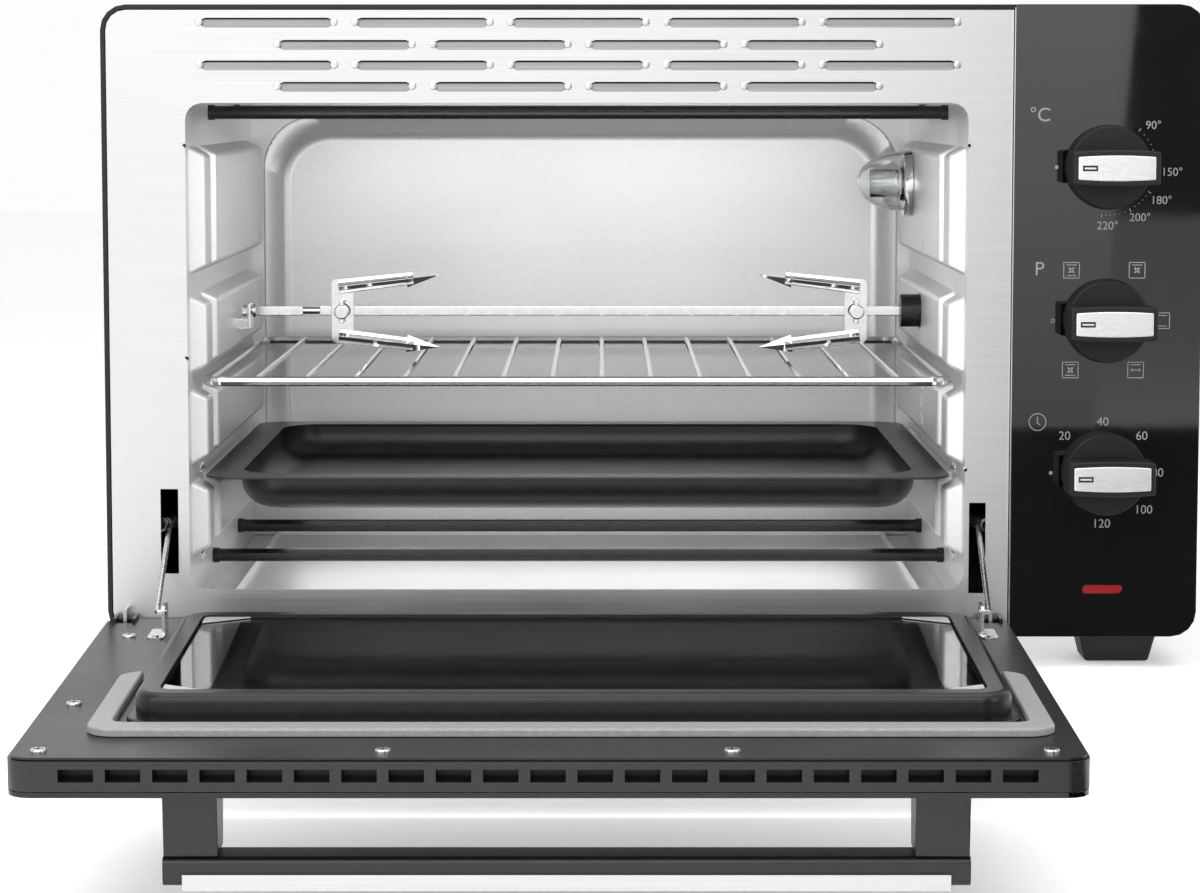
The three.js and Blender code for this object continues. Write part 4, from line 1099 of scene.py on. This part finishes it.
bm = bmesh.new()
for part in (sheet, skirt, plug):
    join_into(bm, part)
inner = to_object("inner_pressing", bm, panel_black)
hang(inner, "black_paint", "door_inner_panel")

# ---- Link brackets ----
# A plated tab on each side of the plug, with a riveted foot on the panel. The hinge link hooks
# into it.
bm = bmesh.new()
for x, out in ((-0.2282, -1), (0.1524, 1)):
    add_plate(bm, (x, -0.0005, 0.0300), (x + 0.0014, 0.0145, 0.0440), 0.0024, "X", 5)
    side = x + 0.0007 + out * 0.0032
    add_plate(bm, (side - 0.0038, 0.0001, 0.0280), (side + 0.0038, 0.0009, 0.0500), 0.0016, "Y", 4)
    add_bar(bm, "Y", 0.0016, (side, 0.0475), 0.0005, 0.0017, 24)
tabs = to_object("link_brackets", bm, screw_steel)
hang(tabs, "spring_steel")

# ---- Inner glass ----
# A clear toughened pane that lies in the plug behind the window's edge. A folded satin clip holds each
# of its corners; the clips' bright tone is a painted reflection of the steel face and cavity walls.
inner_clear = finish(
    "inner_glass", (0.55, 0.56, 0.57), (0.6, 0.61, 0.62), 0, 0.03, (20, 20, 20), 0.01, 0.004
)
shader_of(inner_clear)["Transmission Weight"].default_value = 1.0
shader_of(inner_clear)["Specular IOR Level"].default_value = 0.8
bm = bmesh.new()
add_plate(bm, (-0.2135, 0.0078, 0.048), (0.1425, 0.0108, 0.225), 0.008)
pane = to_object("inner_pane", bm, inner_clear)
hang(pane, "dark_glass", "door_inner_glass")

# The clips' bright satin tone is a painted reflection of the steel face and cavity walls at the window's
# corners.
clip_painted_reflection = finish(
    "clip_satin_painted_reflection", (0.50, 0.51, 0.51), (0.60, 0.61, 0.61), 0.4, 0.35, (400, 400, 400), 0.06, 0.08
)
bm = bmesh.new()
for x, out in ((-0.2066, 1), (0.1356, -1)):
    for z, along in ((0.0549, 1), (0.2181, -1)):
        corners = ((x, 0.0112, z), (x + out * 0.021, 0.0112, z), (x, 0.0112, z + along * 0.013))
        face = bm.faces.new([bm.verts.new(at) for at in corners])
        grown = bmesh.ops.extrude_face_region(bm, geom=[face])["geom"]
        bmesh.ops.translate(
            bm, vec=(0, 0.0005, 0), verts=[v for v in grown if isinstance(v, bmesh.types.BMVert)]
        )
clips = to_object("glass_corner_clips", bm, clip_painted_reflection)
hang(clips, "aluminised_steel")

# ---- Door seal ----
# A grey silicone band moulded in a U, let in round the upper half of the plug. It closes on the
# steel face above the mouth.
silicone = finish(
    "grey_silicone", (0.27, 0.275, 0.27), (0.34, 0.345, 0.34), 0, 0.48, (500, 500, 500), 0.06, 0.12
)
bm = bmesh.new()
add_plate(bm, (-0.234, 0.0003, 0.137), (0.161, 0.0035, 0.2535), 0.012)
inside = bmesh.new()
add_plate(inside, (-0.2245, -0.01, 0.100), (0.1515, 0.02, 0.2395), 0.006)
bm = carved(bm, inside)
rim = [
    e for e in bm.edges
    if e.verts[0].co.y > 0.0034 and e.verts[1].co.y > 0.0034 and e.calc_face_angle(0) > 0.5
]
bmesh.ops.bevel(bm, geom=rim, offset=0.0011, segments=3, profile=0.5, affect="EDGES", material=-1)
seal = to_object("seal_band", bm, silicone)
hang(seal, "grey_silicone", "door_seal")

# ---- Door screws ----
# Eight plated cross-head screws clamp the inner panel to the frame. Four of them stand in a row
# along the top edge.
bm = bmesh.new()
painted_cross_shade = bmesh.new()
for z, places in (
    (0.043, (-0.2435, 0.1535)), (0.191, (-0.247, 0.158)), (0.279, (-0.248, -0.111, 0.028, 0.155))
):
    for x in places:
        add_screw(bm, painted_cross_shade, x, 0, -z, 0.0033)
for mesh in (bm, painted_cross_shade):
    bmesh.ops.transform(mesh, matrix=Matrix.Rotation(math.pi, 4, "X"), verts=mesh.verts)
piece = to_object("door_screws", bm, screw_steel)
hang(piece, "spring_steel")
# The crosses are thin black meshes on the plated heads: painted shade for the hollows of the crosses.
piece = to_object("door_screw_painted_cross_shade", painted_cross_shade, black_paint)
hang(piece, "black_paint")

# ---- Handle ----
# Two moulded posts carry a moulded bar, faced with a folded strip of brushed stainless steel. The
# posts are screwed through the frame from behind.
for node in ("handle_post_left", "handle_post_right", "handle_bar"):
    dress(node, door_black, 0.0008)
dress("handle_strip", brushed, 0.0002)

# ---- Hinge links ----
# Two wire links hooked into the brackets on the door. Each passes through its slot in the steel
# face to a spring.
steel = finish("spring_steel", (0.5, 0.5, 0.5), (0.62, 0.62, 0.62), 1, 0.28, (600, 600, 600), 0.08, 0.1)
for node in ("hinge_link_left", "hinge_link_right"):
    dress(node, steel, 0)

# ---- Hinge springs ----
# A close-wound coil spring behind each slot pulls on the link. Its rear end is hooked to the
# chassis, so it stretches as the door opens.
# PULL is the line of the spring's slide, from the link's end back into the casing.
PULL = Vector((0, 0.9968928, -0.0787703))
TURNS = 34
STEPS_PER_TURN = 14
COIL_LENGTH = 0.100
COIL_RADIUS = 0.0031
WIRE_RADIUS = 0.0006
for side, x in (("left", -0.2364), ("right", 0.1619)):
    low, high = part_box("hinge_spring_" + side)
    start = Vector((x, low.y, high.z - 0.0036))
    points = []
    for k in range(TURNS * STEPS_PER_TURN + 1):
        along = k / (TURNS * STEPS_PER_TURN)
        angle = 2 * math.pi * TURNS * along
        lift = Vector((math.cos(angle), 0, math.sin(angle))) * COIL_RADIUS
        points.append(tuple(start + PULL * (COIL_LENGTH * along) + lift))
    coil = add_wires("spring_coil_" + side, [(points, WIRE_RADIUS, False)], steel, 8)
    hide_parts("hinge_spring_" + side)
    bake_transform(coil)
